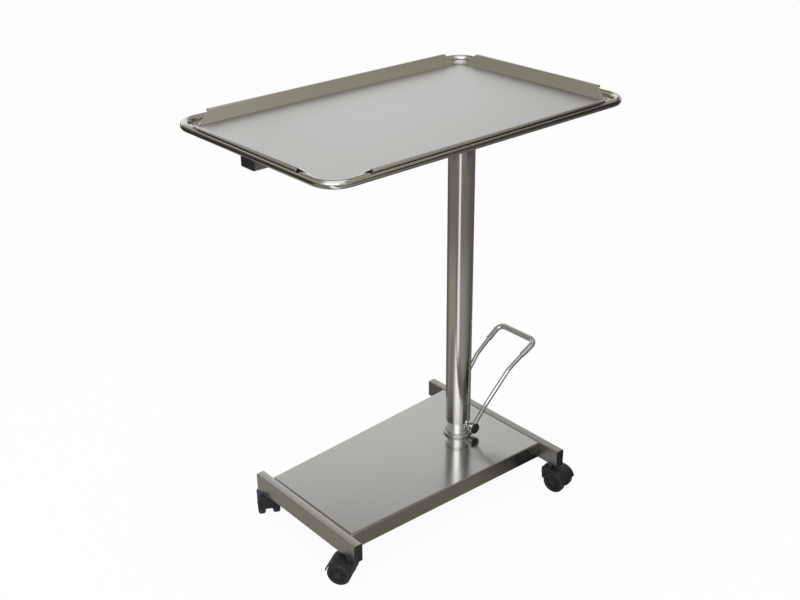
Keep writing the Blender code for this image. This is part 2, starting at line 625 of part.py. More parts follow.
def sleeve(swivel):
    """Outer sleeve that rises over the cylinder, its foot guide and the plug that turns on the rod."""
    bore = SLEEVE_BORE / 2
    foot = PLATE_TOP + SLEEVE_FOOT - SLEEVE_TOP
    tube = turned("sleeve_tube", bush_profile(SLEEVE_BORE, SLEEVE_DIAMETER, foot, 0.0), 44)
    piece("sleeve_tube", tube, "polished", swivel)
    guide = bush_profile(HOUSING_DIAMETER + 2 * CLEAR, SLEEVE_BORE - 2 * CLEAR, foot, foot + GUIDE_LENGTH)
    piece("sleeve_guide", turned("sleeve_guide", guide), "white_plastic", swivel)
    seat, rod = -HEAD_PLUG_LENGTH + ROD_SEAT + CLEAR, ROD_DIAMETER / 2 + CLEAR
    profile = [(0.0, seat), (rod, seat), (rod, -HEAD_PLUG_LENGTH), (bore - CLEAR, -HEAD_PLUG_LENGTH),
               (bore - CLEAR, 0.0), (0.0, 0.0)]
    piece("head_plug", turned("head_plug", profile), "turned", swivel)


def head_plate(swivel):
    """Plate on top of the column that carries the arm."""
    outline = rounded_rectangle(HEAD_PLATE_LENGTH, HEAD_PLATE_WIDTH, HEAD_PLATE_CORNER)
    loops = [at_level(outline, CLEAR), at_level(outline, CLEAR + HEAD_PLATE_SHEET)]
    piece("head_plate", lofted("head_plate", loops), "satin", swivel)


# Tray carrier and pan

def support_arm(swivel):
    """Arm of rectangular tube along the tray, with a plug in each end."""
    run = 2 * (ARM_HALF_LENGTH - PLUG_CAP)
    centre = (-COLUMN_X, 0.0, ARM_FOOT + ARM_HEIGHT / 2 - SLEEVE_TOP)
    piece("support_arm", rectangular_tube("support_arm", ARM_HEIGHT, ARM_WIDTH, run), "satin", swivel, centre,
          (0.0, math.pi / 2, 0.0))
    for side, word in ((-1, "front"), (1, "rear")):
        name = "arm_plug_" + word
        place = (centre[0] + side * run / 2, 0.0, centre[2])
        piece(name, tube_plug(name, ARM_HEIGHT, ARM_WIDTH), "black_plastic", swivel, place,
              (0.0, -side * math.pi / 2, 0.0))


def ring_frame(swivel):
    """Rounded rectangle of round tube, bent from one length and butted over the arm's rear end."""
    x, y = RING_HALF_LENGTH, RING_HALF_WIDTH
    joint = RING_JOINT / 2
    corners = [(x, joint, 0), (x, y, 0), (-x, y, 0), (-x, -y, 0), (x, -y, 0), (x, -joint, 0)]
    route = filleted([Vector(corner) for corner in corners], [RING_BEND] * 4, 5)
    mesh = swept("ring_frame", route, RING_TUBE, RING_TUBE - 2 * RING_WALL, 12)
    piece("ring_frame", mesh, "polished", swivel, (-COLUMN_X, 0.0, RING_HEIGHT - SLEEVE_TOP))


def pan_floor():
    """Height of the pan's middle surface over the ring's centre line; the pan lies on the arm."""
    return ARM_TOP + CLEAR + PAN_SHEET / 2 - RING_HEIGHT


def pan_inward(height):
    """Inward reach of a flared edge's middle surface at a height, both from the ring's centre line."""
    lean = RING_TUBE / 2 + CLEAR + PAN_SHEET / 2
    return (lean - height * math.cos(PAN_FLARE)) / math.sin(PAN_FLARE)


def pan_bend():
    """(inward, up) points of the bend between the floor and a flared edge."""
    floor = pan_floor()
    start = pan_inward(floor) + PAN_BEND * math.tan(PAN_FLARE / 2)
    angles = [PAN_FLARE * step / 4 for step in range(5)]
    return [(start - PAN_BEND * math.sin(a), floor + PAN_BEND * (1 - math.cos(a))) for a in angles]


def pan_roll():
    """(inward, up) points of a wall's top edge, which curls over to point straight down."""
    centre_height = PAN_RISE - PAN_ROLL
    centre = pan_inward(centre_height + PAN_ROLL * math.cos(PAN_FLARE)) - PAN_ROLL * math.sin(PAN_FLARE)
    angles = [PAN_FLARE - (PAN_FLARE + math.pi / 2) * step / 6 for step in range(7)]
    return [(centre + PAN_ROLL * math.sin(a), centre_height + PAN_ROLL * math.cos(a)) for a in angles]


def pan_side(bm, half_run, half_span, heading):
    """One wall, turned to its side of the tray; returns the two vertices of its foot."""
    turn = Matrix.Rotation(heading, 3, "Z")
    floor = top = pan_floor()
    rows = []
    for inward, height in pan_bend() + pan_roll():
        top = max(top, height)
        end = half_run - PAN_WALL_INSET - PAN_WALL_SLANT * (top - floor) / (PAN_RISE - floor)
        rows.append([bm.verts.new(turn @ Vector((half_span - inward, way * end, height))) for way in (-1, 1)])
    for low, high in zip(rows, rows[1:]):
        bm.faces.new((low[0], high[0], high[1], low[1]))
    return rows[0]


def pan_corner(bm, heading, run, span):
    """Flared tab round a corner, with a slot at each end; returns the floor's border from wall to wall."""
    turn = Matrix.Rotation(heading, 3, "Z")
    section = pan_bend() + [(pan_inward(PAN_TAB_RISE), PAN_TAB_RISE)]
    foot, floor = section[0]
    tab, cut_line = PAN_WALL_INSET - PAN_SLOT, foot + PAN_NOTCH
    first = math.asin((RING_BEND - tab) / (RING_BEND - foot))
    angles = [first + (math.pi / 2 - 2 * first) * step / 6 for step in range(7)]

    def vertex(x, y, z):
        return bm.verts.new(turn @ Vector((span - x, run - y, z)))

    rows = []
    for inward, height in section:
        arm = RING_BEND - inward
        rows.append([vertex(RING_BEND - arm * math.cos(a), RING_BEND - arm * math.sin(a), height) for a in angles])
    for low, high in zip(rows, rows[1:]):
        for i in range(len(angles) - 1):
            bm.faces.new((low[i], high[i], high[i + 1], low[i + 1]))
    before = [vertex(cut_line, PAN_WALL_INSET, floor), vertex(cut_line, tab, floor)]
    after = [vertex(tab, cut_line, floor), vertex(PAN_WALL_INSET, cut_line, floor)]
    return before + rows[0] + after


def tray_pan(seat):
    """Loose sheet pan: a flat floor, four flared walls that lie on the ring, and a flared tab at each corner."""
    bm = bmesh.new()
    border = []
    sides = [(RING_HALF_WIDTH, RING_HALF_LENGTH), (RING_HALF_LENGTH, RING_HALF_WIDTH)] * 2
    for number, (run, span) in enumerate(sides):
        heading = math.pi / 2 * number
        border += pan_side(bm, run, span, heading)
        border += pan_corner(bm, heading, run, span)
    bm.faces.new(border)
    pan = piece("tray_pan", to_mesh(bm, "tray_pan"), "satin", seat)
    sheet = pan.modifiers.new("sheet", "SOLIDIFY")
    sheet.thickness = PAN_SHEET
    sheet.offset = 0.0
    sheet.use_even_offset = True


# Pedal and pump

def pedal_point(place, side):
    """A point given from the column's foot, as seen from the pedal's pivot."""
    x, half_span, z = place
    return Vector((x - PIVOT_X, side * half_span, z - PIVOT_RISE))


def pedal_route(side):
    """Centre line of one leg from the hub's rim to the tread's crossbar."""
    middle = (HUB_START + HUB_END) / 2
    bow = pedal_point(LEG_BOW_AT, side)
    away = Vector((bow.x, 0.0, bow.z)).normalized()
    splay = math.atan2(abs(bow.y) - middle, bow.dot(away) - HUB_DIAMETER / 2)
    reach = HUB_DIAMETER / 2 + CLEAR + LEG_DIAMETER / 2 * abs(math.sin(splay))
    hub = away * reach + Vector((0.0, side * middle, 0.0))
    return [hub, bow] + [pedal_point(at, side) for at in (LEG_KNEE_AT, TREAD_FOOT_AT, TREAD_CORNER_AT)]


def pedal(pivot):
    """Shaft, hubs, two bent legs and the crossbar that the foot presses."""
    lying = (math.pi / 2, 0.0, 0.0)
    half, pin = HUB_END, CAP_PIN / 2 + CLEAR
    socket = half - CAP_PIN_DEPTH - CLEAR
    shaft_radius = SHAFT_DIAMETER / 2
    profile = [(0.0, -socket), (pin, -socket), (pin, -half), (shaft_radius, -half), (shaft_radius, half),
               (pin, half), (pin, socket), (0.0, socket)]
    piece("pedal_shaft", turned("pedal_shaft", profile, SMALL), "turned", pivot, rotation=lying)
    hub = turned("pedal_hub", bush_profile(SHAFT_DIAMETER + 2 * CLEAR, HUB_DIAMETER, HUB_START, HUB_END), 20)
    rim, face = CAP_DIAMETER / 2, HUB_END + CLEAR
    edge = CAP_LENGTH / 3
    cap = turned("pedal_cap", [(0.0, HUB_END - CAP_PIN_DEPTH), (CAP_PIN / 2, HUB_END - CAP_PIN_DEPTH),
                               (CAP_PIN / 2, face), (rim, face), (rim, face + CAP_LENGTH - edge),
                               (rim - edge, face + CAP_LENGTH), (0.0, face + CAP_LENGTH)], 20)
    for side, word in ((1, "left"), (-1, "right")):
        outward = (-side * math.pi / 2, 0.0, 0.0)
        piece("pedal_hub_" + word, hub, "polished", pivot, rotation=outward)
        piece("pedal_cap_" + word, cap, "black_plastic", pivot, rotation=outward)
        start, bow, knee, foot, corner = pedal_route(side)
        lap = foot + (corner - foot).normalized() * TREAD_LAP
        leg = filleted([start, bow, knee, foot, lap], [LEG_BOW, LEG_BEND, LEG_BOW], 3)
        rod = swept("pedal_leg_" + word, leg, LEG_DIAMETER, facets=10)
        piece("pedal_leg_" + word, rod, "polished", pivot)
    left, right = pedal_route(1), pedal_route(-1)
    bar = filleted([left[3], left[4], right[4], right[3]], [TREAD_BEND] * 2, 4)
    tread = swept("pedal_tread", bar, TREAD_DIAMETER, LEG_DIAMETER + 2 * CLEAR, 10)
    piece("pedal_tread", tread, "polished", pivot)


def finger_outline():
    """Side outline in X and Z of the pump finger: a collar round the shaft and a bar with a round tip."""
    collar, bar = FINGER_COLLAR / 2, FINGER_THICKNESS / 2
    spread = math.asin(bar / collar)
    points = []
    for step in range(19):
        angle = -math.pi + spread + (2 * math.pi - 2 * spread) * step / 18
        points.append((collar * math.cos(angle), collar * math.sin(angle)))
    for step in range(9):
        angle = math.pi / 2 + math.pi * step / 8
        points.append((-FINGER_REACH + bar * math.cos(angle), bar * math.sin(angle)))
    return points


def pump(pivot, stroke):
    """Finger on the pedal shaft, and the plunger that it lifts."""
    half = FINGER_WIDTH / 2
    loops = [[(x, y, z) for x, z in finger_outline()] for y in (-half, half)]
    finger = piece("pump_finger", lofted("pump_finger", loops), "turned", pivot)
    drill(finger, "finger_bore", pivot, SHAFT_DIAMETER + 2 * CLEAR, 2 * FINGER_WIDTH, (0.0, 0.0, 0.0),
          (math.pi / 2, 0.0, 0.0))
    radius = PLUNGER_DIAMETER / 2
    body = [(0.0, 0.0), (radius, 0.0), (radius, PLUNGER_LENGTH), (0.0, PLUNGER_LENGTH)]
    piece("pump_plunger", turned("pump_plunger", body, SMALL), "turned", stroke)


def main():
    for old in list(bpy.data.objects):
        bpy.data.objects.remove(old)
    frame = axis("base_frame", (0.0, 0.0, 0.0))
    lift = axis("lift_axis", (COLUMN_X, 0.0, HOUSING_TOP), frame)
    swivel = axis("swivel_axis", (0.0, 0.0, SLEEVE_TOP - HOUSING_TOP), lift)
    seat = axis("tray_seat", (-COLUMN_X, 0.0, RING_HEIGHT - SLEEVE_TOP), swivel)
    pivot = axis("pedal_axis", PIVOT, frame)
    finger_top = FINGER_THICKNESS / 2 + CLEAR
    stroke = axis("plunger_axis", PIVOT + Vector((-FINGER_REACH, 0.0, finger_top)), frame)
    column_fixing(frame, base_plate(frame), base_channel(frame))
    beam(frame, "front", FRONT_BEAM_X, FRONT_BEAM_LENGTH)
    beam(frame, "rear", REAR_BEAM_X, REAR_BEAM_LENGTH)
    castors(frame)
    pump_housing(frame)
    shaft_bushes(frame)
    cylinder(frame)
    ram(lift)
    sleeve(swivel)
    head_plate(swivel)
    support_arm(swivel)
    ring_frame(swivel)
    tray_pan(seat)
    pedal(pivot)
    pump(pivot, stroke)


main()
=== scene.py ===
"""Looks of the mayo instrument table: fine meshes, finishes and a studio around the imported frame."""

import math

import bmesh
import bpy
from mathutils import Matrix, Vector

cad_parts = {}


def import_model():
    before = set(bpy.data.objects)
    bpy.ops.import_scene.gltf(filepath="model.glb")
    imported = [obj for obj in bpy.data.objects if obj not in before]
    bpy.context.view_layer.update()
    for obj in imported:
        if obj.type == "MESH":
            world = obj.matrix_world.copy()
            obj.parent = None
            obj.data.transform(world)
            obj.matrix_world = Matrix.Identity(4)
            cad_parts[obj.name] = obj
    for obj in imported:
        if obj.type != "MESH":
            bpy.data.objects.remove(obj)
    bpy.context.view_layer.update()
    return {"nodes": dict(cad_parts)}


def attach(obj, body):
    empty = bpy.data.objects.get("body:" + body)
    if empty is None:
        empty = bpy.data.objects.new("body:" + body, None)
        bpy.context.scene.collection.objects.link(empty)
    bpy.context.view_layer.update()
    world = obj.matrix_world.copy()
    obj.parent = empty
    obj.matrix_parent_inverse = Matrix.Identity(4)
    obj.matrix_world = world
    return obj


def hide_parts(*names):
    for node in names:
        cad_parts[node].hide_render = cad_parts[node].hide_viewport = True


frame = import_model()

# Sizes of the table in metres, as in the part's source
CLEAR = 0.0003
WHEEL_RADIUS, WHEEL_WIDTH, WHEEL_EDGE = 0.025, 0.016, 0.005
WHEEL_RIM, WHEEL_HUB, WHEEL_DISH = 0.0175, 0.0075, 0.0035
CASTOR_HEIGHT, CASTOR_TRAIL, CASTOR_INSET = 0.062, 0.020, 0.026
HOOD_WEB, HOOD_WALL, HOOD_GAP, HOOD_BOSS = 0.015, 0.0025, 0.0018, 0.010
HOOD_DROP, HOOD_NOSE, HOOD_FOOT = 0.007, 0.020, 0.009
COLLAR_HEIGHT, COLLAR_RADIUS = 0.005, 0.0085
STEM_RADIUS, STEM_DEPTH, STEM_RISE, AXLE_RADIUS = 0.004, 0.018, 0.024, 0.003
CASTOR_HEADINGS = {"front_left": 60.0, "front_right": 120.0, "rear_left": 20.0, "rear_right": 280.0}
BEAM_WIDTH, BEAM_HEIGHT, TUBE_WALL, TUBE_CORNER = 0.020, 0.040, 0.0015, 0.0022
BEAM_LENGTHS = {"front": 0.336, "rear": 0.423}
BEAM_PLACES = {"front": -0.2823, "rear": 0.2603}
PLATE_FRONT, PLATE_REAR, PLATE_TOP = -0.272, 0.250, 0.1026
PLATE_FRONT_WIDTH, PLATE_REAR_WIDTH = 0.267, 0.314
PLATE_SHEET, PLATE_SKIRT, PLATE_BEND = 0.0015, 0.037, 0.0025
PLUG_CAP, PLUG_DEPTH = 0.002, 0.014
COLUMN_X, COLUMN_FOOT = 0.147, 0.1029
FLANGE_RADIUS, FLANGE_HEIGHT, FLANGE_CHAMFER = 0.033, 0.005, 0.0016
HOUSING_RADIUS, HOUSING_HEIGHT, HOUSING_CAVITY, HOUSING_ROOF = 0.0247, 0.054, 0.018, 0.014
CYLINDER_BORE, CYLINDER_FOOT, CYLINDER_TOP = 0.021, 0.1572, 0.6632
SLEEVE_RADIUS, SLEEVE_WALL, SLEEVE_FOOT, SLEEVE_TOP = 0.028, 0.002, 0.1366, 0.8516
HEAD_LENGTH, HEAD_WIDTH, HEAD_SHEET, HEAD_CORNER = 0.110, 0.060, 0.005, 0.008
RING_HALF_LENGTH, RING_HALF_WIDTH, RING_RADIUS = 0.3655, 0.233, 0.008
RING_BEND, RING_HEIGHT = 0.042, 0.8855
ARM_WIDTH, ARM_HEIGHT, ARM_HALF_LENGTH, ARM_TOP = 0.040, 0.020, 0.366, 0.8772
PAN_SHEET, PAN_FLARE, PAN_RISE, PAN_ROLL = 0.0012, math.radians(45.0), 0.0127, 0.0045
PIVOT = Vector((0.162, 0.0, 0.1216))
BUSH_INNER, BUSH_OUTER, BUSH_FLANGE, BUSH_REACH, BUSH_LENGTH = 0.0053, 0.0073, 0.0086, 0.0290, 0.0120
HUB_RADIUS, HUB_START, HUB_END, SHAFT_RADIUS = 0.013, 0.0293, 0.0398, 0.005
CAP_RADIUS, CAP_LENGTH, CAP_PIN, CAP_PIN_DEPTH = 0.01225, 0.0032, 0.002, 0.006
LEG_RADIUS, LEG_BEND, LEG_BOW = 0.005, 0.030, 0.120
TREAD_RADIUS, TREAD_LAP, TREAD_BEND = 0.0068, 0.014, 0.016
LEG_BOW_AT, LEG_KNEE_AT = (0.043, 0.044, 0.0715), (0.108, 0.050, 0.1415)
TREAD_FOOT_AT, TREAD_CORNER_AT = (0.148, 0.053, 0.1660), (0.188, 0.056, 0.1875)

# Sizes that only the looks have; a pan's wall end is its inset from the ring's corner and its slant
PAN_BEND, PAN_SLOT, PAN_TAB_RISE, PAN_NOTCH = 0.0022, 0.0014, -0.0010, 0.0010
PAN_ENDS = {"rear_left": (0.034, 0.016), "front_left": (0.036, 0.036),
            "front_right": (0.036, 0.046), "rear_right": (0.036, 0.036)}
PAN_FLAT, PLATE_FLAT = (0.003, 0.0006), (0.004, 0.0015)
RING_SKIN, PLUG_CROWN, LEG_SINK = 0.00015, 0.0004, 0.0008
TREAD_LIP, LIP_MIDDLE, LIP_GIRTHS = 0.0012, 0.4, [0.84, 0.94, 1.0]
CAP_FLAT, CAP_STEP = 0.72, 0.35
DISH_DRAFT, SPOKE_COUNT, SPOKE_HALF, SPOKE_LAP, SPOKE_SINK = 0.001, 6, 0.0011, 0.0004, 0.0005
HUB_CAP = ((0.0, 0.0011), (0.003, 0.0009), (0.0052, 0.0002), (0.0054, -0.0008), (0.0, -0.0008))
ROLLED_START, ROLLED_FADE = 0.003, 0.002
EASE = {"plug": 0.0009, "dish": 0.0006, "shoulder": 0.0022, "hood": 0.0016, "stem": 0.0006,
        "flange": 0.0009, "cylinder": 0.0008, "sleeve": 0.0007, "bush": 0.0006, "head": 0.0008,
        "pan": 0.00035, "hub": 0.0014}
WELD = {"sleeve": 0.0014, "seam": 0.0010, "arm": 0.0014, "head": 0.0013, "leg": 0.0012}
SLEEVE_WELD_OUT, SLEEVE_WELD_DROP, SEAM_BED = 0.0008, 0.0006, 0.0012
ARM_WELD_IN, ARM_WELD_OUT, ARM_WELD_EDGE, ARM_WELD_STOP = 0.0055, 0.0005, 0.0008, 0.004
ARM_WELD_LOW, ARM_WELD_HIGH = 0.0002, 0.0006
HEAD_WELD_HALF, HEAD_WELD_LIFT = 0.045, 0.0004
LEG_WELD_OUT, LEG_WELD_UP = 0.0002, 0.0006
RIPPLE_PITCH, RIPPLE_SHAPE = 0.9, (0.62, 1.0, 1.0)
FACETS = {"sleeve": 128, "column": 96, "hub": 64, "pocket": 64, "wheel": 60, "cap": 56, "bush": 48,
          "ring": 48, "stem": 40, "bush_bore": 40, "tread": 36, "leg": 32, "hub_cap": 32, "bore": 24}
CREASE, FLAT_CREASE, PAN_CREASE = math.radians(34.0), math.radians(40.0), math.radians(60.0)
CORNER_STEPS, FINE_CORNER_STEPS, ARC_STEPS, EDGE_STEPS, HOOD_STEPS = 4, 3, 6, 7, 26
PAN_BEND_STEPS, PAN_ROLL_STEPS, PAN_EDGE_STEPS, TAB_STEPS, DOME_STEPS = 10, 14, 3, 20, 6
PLATE_FOLD_STEPS, RING_STEPS, LEG_STEPS, TREAD_STEPS = 6, 18, 12, 14
HOOP = {"sleeve": 72, "seam": 32, "leg": 24}
SIDES = ((1, "left"), (-1, "right"))
ENDS = ((-1, "front"), (1, "rear"))
X_AXIS, Y_AXIS, Z_AXIS = Vector((1.0, 0.0, 0.0)), Vector((0.0, 1.0, 0.0)), Vector((0.0, 0.0, 1.0))

# The camera that the photograph was taken with
LENS, SENSOR = 50.58, 36.0
YAW, PITCH, ROLL = math.radians(49.19), math.radians(26.19), math.radians(-0.64)
EYE = Vector((-1.3700, -1.5603, 1.5062))

# The studio: headings in degrees round the column, sizes in metres
SCREENS = ((100.0, 182.0), (268.0, 335.0))
SCREEN_REACH, SCREEN_FOOT, SCREEN_TOP, SCREEN_STEPS = 0.75, 0.60, 0.88, 12
ROOM_RADIUS, FLOOR_RADIUS, GROUND_LEVEL = 7.0, 9.0, 0.0002


def maths(operation, reflected=False):
    """An operator that adds a Math node."""
    def act(socket, other):
        pair = (other, socket) if reflected else (socket, other)
        return socket.graph.node("ShaderNodeMath", {"operation": operation}, dict(enumerate(pair)))
    return act


class Socket:
    """A node's output that takes part in Python arithmetic."""

    def __init__(self, graph, link):
        self.graph, self.link = graph, link

    __add__ = __radd__ = maths("ADD")
    __mul__ = __rmul__ = maths("MULTIPLY")
    __sub__, __rsub__ = maths("SUBTRACT"), maths("SUBTRACT", True)
    __truediv__, __pow__, top = maths("DIVIDE"), maths("POWER"), maths("MAXIMUM")


class Graph:
    """A node tree that is filled by calls."""

    def __init__(self, tree):
        self.tree = tree
        tree.nodes.clear()

    def node(self, kind, settings=None, sockets=None, out=0):
        """A node with its settings made first, then its sockets set or linked; gives one output."""
        made = self.tree.nodes.new(kind)
        for key, value in (settings or {}).items():
            if key == "stops":
                ramp = made.color_ramp
                while len(ramp.elements) < len(value):
                    ramp.elements.new(1.0)
                for element, (place, colour) in zip(ramp.elements, value):
                    element.position, element.color = place, (*colour, 1.0)
            else:
                setattr(made, key, value)
        for key, value in (sockets or {}).items():
            if isinstance(value, Socket):
                self.tree.links.new(value.link, made.inputs[key])
            else:
                made.inputs[key].default_value = value
        return Socket(self, made.outputs[out]) if made.outputs else None

    def mix(self, share, first, second):
        """Blend of two colours."""
        pair = [c if isinstance(c, Socket) else (*c, 1.0) for c in (first, second)]
        return self.node("ShaderNodeMix", {"data_type": "RGBA"}, {0: share, 6: pair[0], 7: pair[1]}, 2)

    def ramp(self, value, stops):
        """Colours along a value."""
        return self.node("ShaderNodeValToRGB", {"stops": stops}, {0: value})

    def step(self, value, low, high, start=0.0, end=1.0):
        """Smooth step of a value from low to high."""
        sockets = {"Value": value, "From Min": low, "From Max": high, "To Min": start, "To Max": end}
        return self.node("ShaderNodeMapRange", {"interpolation_type": "SMOOTHSTEP"}, sockets)

    def axes(self, vector):
        """The three numbers of a vector."""
        parts = self.node("ShaderNodeSeparateXYZ", None, {0: vector})
        return [Socket(self, output) for output in parts.link.node.outputs]


class Surface(Graph):
    """The tree of a new material."""

    def __init__(self, name):
        self.material = bpy.data.materials.new(name)
        self.material.use_nodes = True
        super().__init__(self.material.node_tree)

    def end(self, shader):
        """Give the shader out."""
        self.node("ShaderNodeOutputMaterial", None, {"Surface": shader})
        return self.material


class Finish(Surface):
    """A Principled material: plain values on its sockets, and patterns on Object coordinates."""

    def __init__(self, name, **plain):
        super().__init__(name)
        values = {key.replace("_", " "): value for key, value in plain.items()}
        self.shader = self.node("ShaderNodeBsdfPrincipled", None, values)
        self.place = self.node("ShaderNodeTexCoord", None, None, 3)

    def at(self, scale=(1.0, 1.0, 1.0), turn=(0.0, 0.0, 0.0)):
        """Object coordinates, scaled and turned."""
        sockets = {"Vector": self.place, "Rotation": turn, "Scale": scale}
        return self.node("ShaderNodeMapping", None, sockets)

    def noise(self, scale, detail=2.0, vector=None, rough=0.5):
        sockets = {"Vector": vector or self.place, "Scale": scale, "Detail": detail, "Roughness": rough}
        return self.node("ShaderNodeTexNoise", None, sockets)

    def bump(self, height, strength, depth):
        """Surface relief, in metres of depth."""
        sockets = {"Strength": strength, "Distance": depth, "Height": height}
        return self.node("ShaderNodeBump", None, sockets)

    def feed(self, tone, rough, relief):
        """Link the patterns to the shader and end the material."""
        inputs = self.shader.link.node.inputs
        for key, value in (("Base Color", tone), ("Roughness", rough), ("Normal", relief)):
            self.tree.links.new(value.link, inputs[key])
        return self.end(self.shader)


def sheet_finish(name, colour, dull, wave, grain_turn=0.0):
    """Satin stainless sheet: fine grain one way, faint clouds, handling marks, a little unevenness."""
    made = Finish(name, Metallic=1.0)
    grain = made.noise(1.0, 3.0, made.at((9.0, 1500.0, 1500.0), (0.0, 0.0, grain_turn)))
    clouds = made.noise(5.0, 3.0)
    marks = made.step(made.noise(2.3, 5.0, made.at((1.0, 1.6, 1.0), (0.0, 0.0, 0.6)), 0.62), 0.55, 0.72)
    tone = made.mix(grain * 0.5 + clouds * 0.5, [c * 0.88 for c in colour], colour)
    rough = dull + grain * 0.06 + clouds * 0.05 + marks * 0.05
    swell = made.noise(wave, 1.0)
    return made.feed(tone, rough, made.bump(grain * 0.004 + swell, 1.0, 0.0011))


def polished_finish(name, colour, dull, metal=1.0):
    """Polished stainless tube: nearly a mirror, with buffing haze and finger marks."""
    made = Finish(name, Metallic=metal)
    haze = made.noise(16.0, 4.0, rough=0.6)
    lines = made.noise(420.0, 2.0)
    marks = made.step(made.noise(34.0, 3.0), 0.58, 0.70)
    tone = made.mix(haze, [c * 0.93 for c in colour], colour)
    rough = dull + haze * 0.05 + lines * 0.02 + marks * 0.05
    return made.feed(tone, rough, made.bump(lines, 0.35, 0.00004))


def turned_finish(name, colour, dull, pitch, metal=1.0):
    """Steel with rings left by turning or by belt-polishing round a tube that stands upright."""
    made = Finish(name, Metallic=metal)
    rings = made.noise(1.0, 2.0, made.at((6.0, 6.0, pitch)))
    haze = made.noise(9.0, 4.0, made.at((1.0, 1.0, 0.35)), 0.6)
    tone = made.mix(rings * 0.6 + haze * 0.4, [c * 0.90 for c in colour], colour)
    rough = dull + rings * 0.05 + haze * 0.06
    return made.feed(tone, rough, made.bump(rings, 0.25, 0.00003))


def moulded_finish(name, colour, dull, dust):
    """Black moulding: fine spark-eroded texture, flow clouds and a trace of dust."""
    made = Finish(name, Specular_IOR_Level=0.45)
    texture = made.noise(1300.0, 2.0)
    clouds = made.noise(38.0, 4.0, rough=0.6)
    lint = made.step(made.noise(120.0, 5.0, rough=0.7), 0.56, 0.74)
    tone = made.mix(clouds, colour, [c * 1.5 + 0.002 for c in colour])
    tone = made.mix(lint * dust, tone, (0.16, 0.155, 0.145))
    rough = dull + clouds * 0.14 + lint * dust
    return made.feed(tone, rough, made.bump(texture, 0.35, 0.0001))


def tread_finish():
    """Wheel moulding: black hub, and a tread that is scuffed grey where it has rolled."""
    made = Finish("wheel_tread", Specular_IOR_Level=0.4)
    rolled = made.node("ShaderNodeAttribute", {"attribute_name": "rolled"}, None, 2)
    scuffs = made.noise(210.0, 5.0, rough=0.65)
    clouds = made.noise(45.0, 3.0)
    tone = made.mix(clouds, (0.017, 0.017, 0.019), (0.028, 0.028, 0.031))
    tone = made.mix(rolled * made.step(scuffs, 0.38, 0.68), tone, (0.075, 0.074, 0.072))
    return made.feed(tone, 0.36 + clouds * 0.12 + rolled * 0.22, made.bump(scuffs, 0.4, 0.00015))


def bead_finish():
    """Weld bead: bright ripples with straw and blue heat tint."""
    made = Finish("weld_bead", Metallic=1.0)
    heat = made.noise(160.0, 3.0)
    tone = made.ramp(heat, [(0.30, (0.52, 0.50, 0.47)), (0.50, (0.60, 0.58, 0.54)),
                            (0.64, (0.50, 0.43, 0.32)), (0.78, (0.36, 0.38, 0.46))])
    return made.feed(tone, 0.20 + heat * 0.2, made.bump(heat, 0.3, 0.0002))


def plated_finish(name, low, high, dull):
    """Plated or cast metal with a grain of small crystals."""
    made = Finish(name, Metallic=1.0)
    crystal = made.node("ShaderNodeTexVoronoi", None, {"Vector": made.place, "Scale": 420.0})
    cloud = made.noise(40.0, 4.0)
    tone = made.mix(crystal * 0.5 + cloud * 0.5, low, high)
    return made.feed(tone, dull + cloud * 0.15, made.bump(crystal, 0.2, 0.00005))


def plain_moulding(name, low, high, dull):
    """Pale guide plastic or seal rubber with a soft mottle."""
    made = Finish(name)
    mottle = made.noise(130.0, 4.0, rough=0.6)
    return made.feed(made.mix(mottle, low, high), dull + mottle * 0.15, made.bump(mottle, 0.2, 0.0001))


STEEL = (0.64, 0.635, 0.62)
tray_sheet = sheet_finish("tray_sheet", (0.60, 0.60, 0.59), 0.24, 3.0)
base_sheet = sheet_finish("base_sheet", (0.58, 0.58, 0.57), 0.11, 2.2)
beam_steel = sheet_finish("beam_steel", (0.58, 0.575, 0.555), 0.24, 3.5, math.pi / 2)
# A darker copy of the beam steel for the rear beam: its lower colour is painted shade, not a different
# steel.
rear_steel = sheet_finish("rear_steel", (0.44, 0.436, 0.42), 0.24, 3.5, math.pi / 2)
# A darker copy of the beam steel for the support arm: its lower colour is painted shade, for the arm's
# sides in shadow under the tray.
arm_steel = sheet_finish("arm_steel", (0.46, 0.455, 0.435), 0.24, 3.5)
polished_tube = polished_finish("polished_tube", STEEL, 0.08)
pedal_chrome = polished_finish("pedal_chrome", (0.70, 0.70, 0.69), 0.06)
tread_chrome = polished_finish("tread_chrome", (0.68, 0.68, 0.69), 0.10, 0.8)
column_tube = turned_finish("column_tube", STEEL, 0.10, 1100.0)
neck_steel = turned_finish("neck_steel", (0.74, 0.74, 0.72), 0.16, 1500.0, 0.8)
ground_steel = turned_finish("ground_steel", (0.56, 0.56, 0.55), 0.10, 1900.0)
black_moulding = moulded_finish("black_moulding", (0.014, 0.014, 0.016), 0.34, 0.06)
black_plug = moulded_finish("black_plug", (0.012, 0.012, 0.014), 0.38, 0.03)
wheel_tread = tread_finish()
weld_bead = bead_finish()
zinc = plated_finish("zinc_plate", (0.48, 0.49, 0.50), (0.62, 0.63, 0.64), 0.30)
bronze = plated_finish("bronze", (0.45, 0.30, 0.13), (0.58, 0.40, 0.20), 0.26)
guide_plastic = plain_moulding("guide_plastic", (0.66, 0.66, 0.62), (0.76, 0.76, 0.73), 0.36)
seal_rubber = plain_moulding("seal_rubber", (0.014, 0.014, 0.014), (0.024, 0.024, 0.024), 0.55)


# Mesh work

def shares(count):
    """Even steps from 0 to 1."""
    return [step / count for step in range(count + 1)]


def round_angles(count):
    """Even angles round a full turn."""
    return [2.0 * math.pi * i / count for i in range(count)]


def placed(name, data):
    """A new object in the scene, at the origin."""
    made = bpy.data.objects.new(name, data)
    bpy.context.scene.collection.objects.link(made)
    return made


def plain_mesh(bm):
    """The mesh of a bmesh, which is then freed."""
    mesh = bpy.data.meshes.new("mesh")
    bm.to_mesh(mesh)
    bm.free()
    return mesh


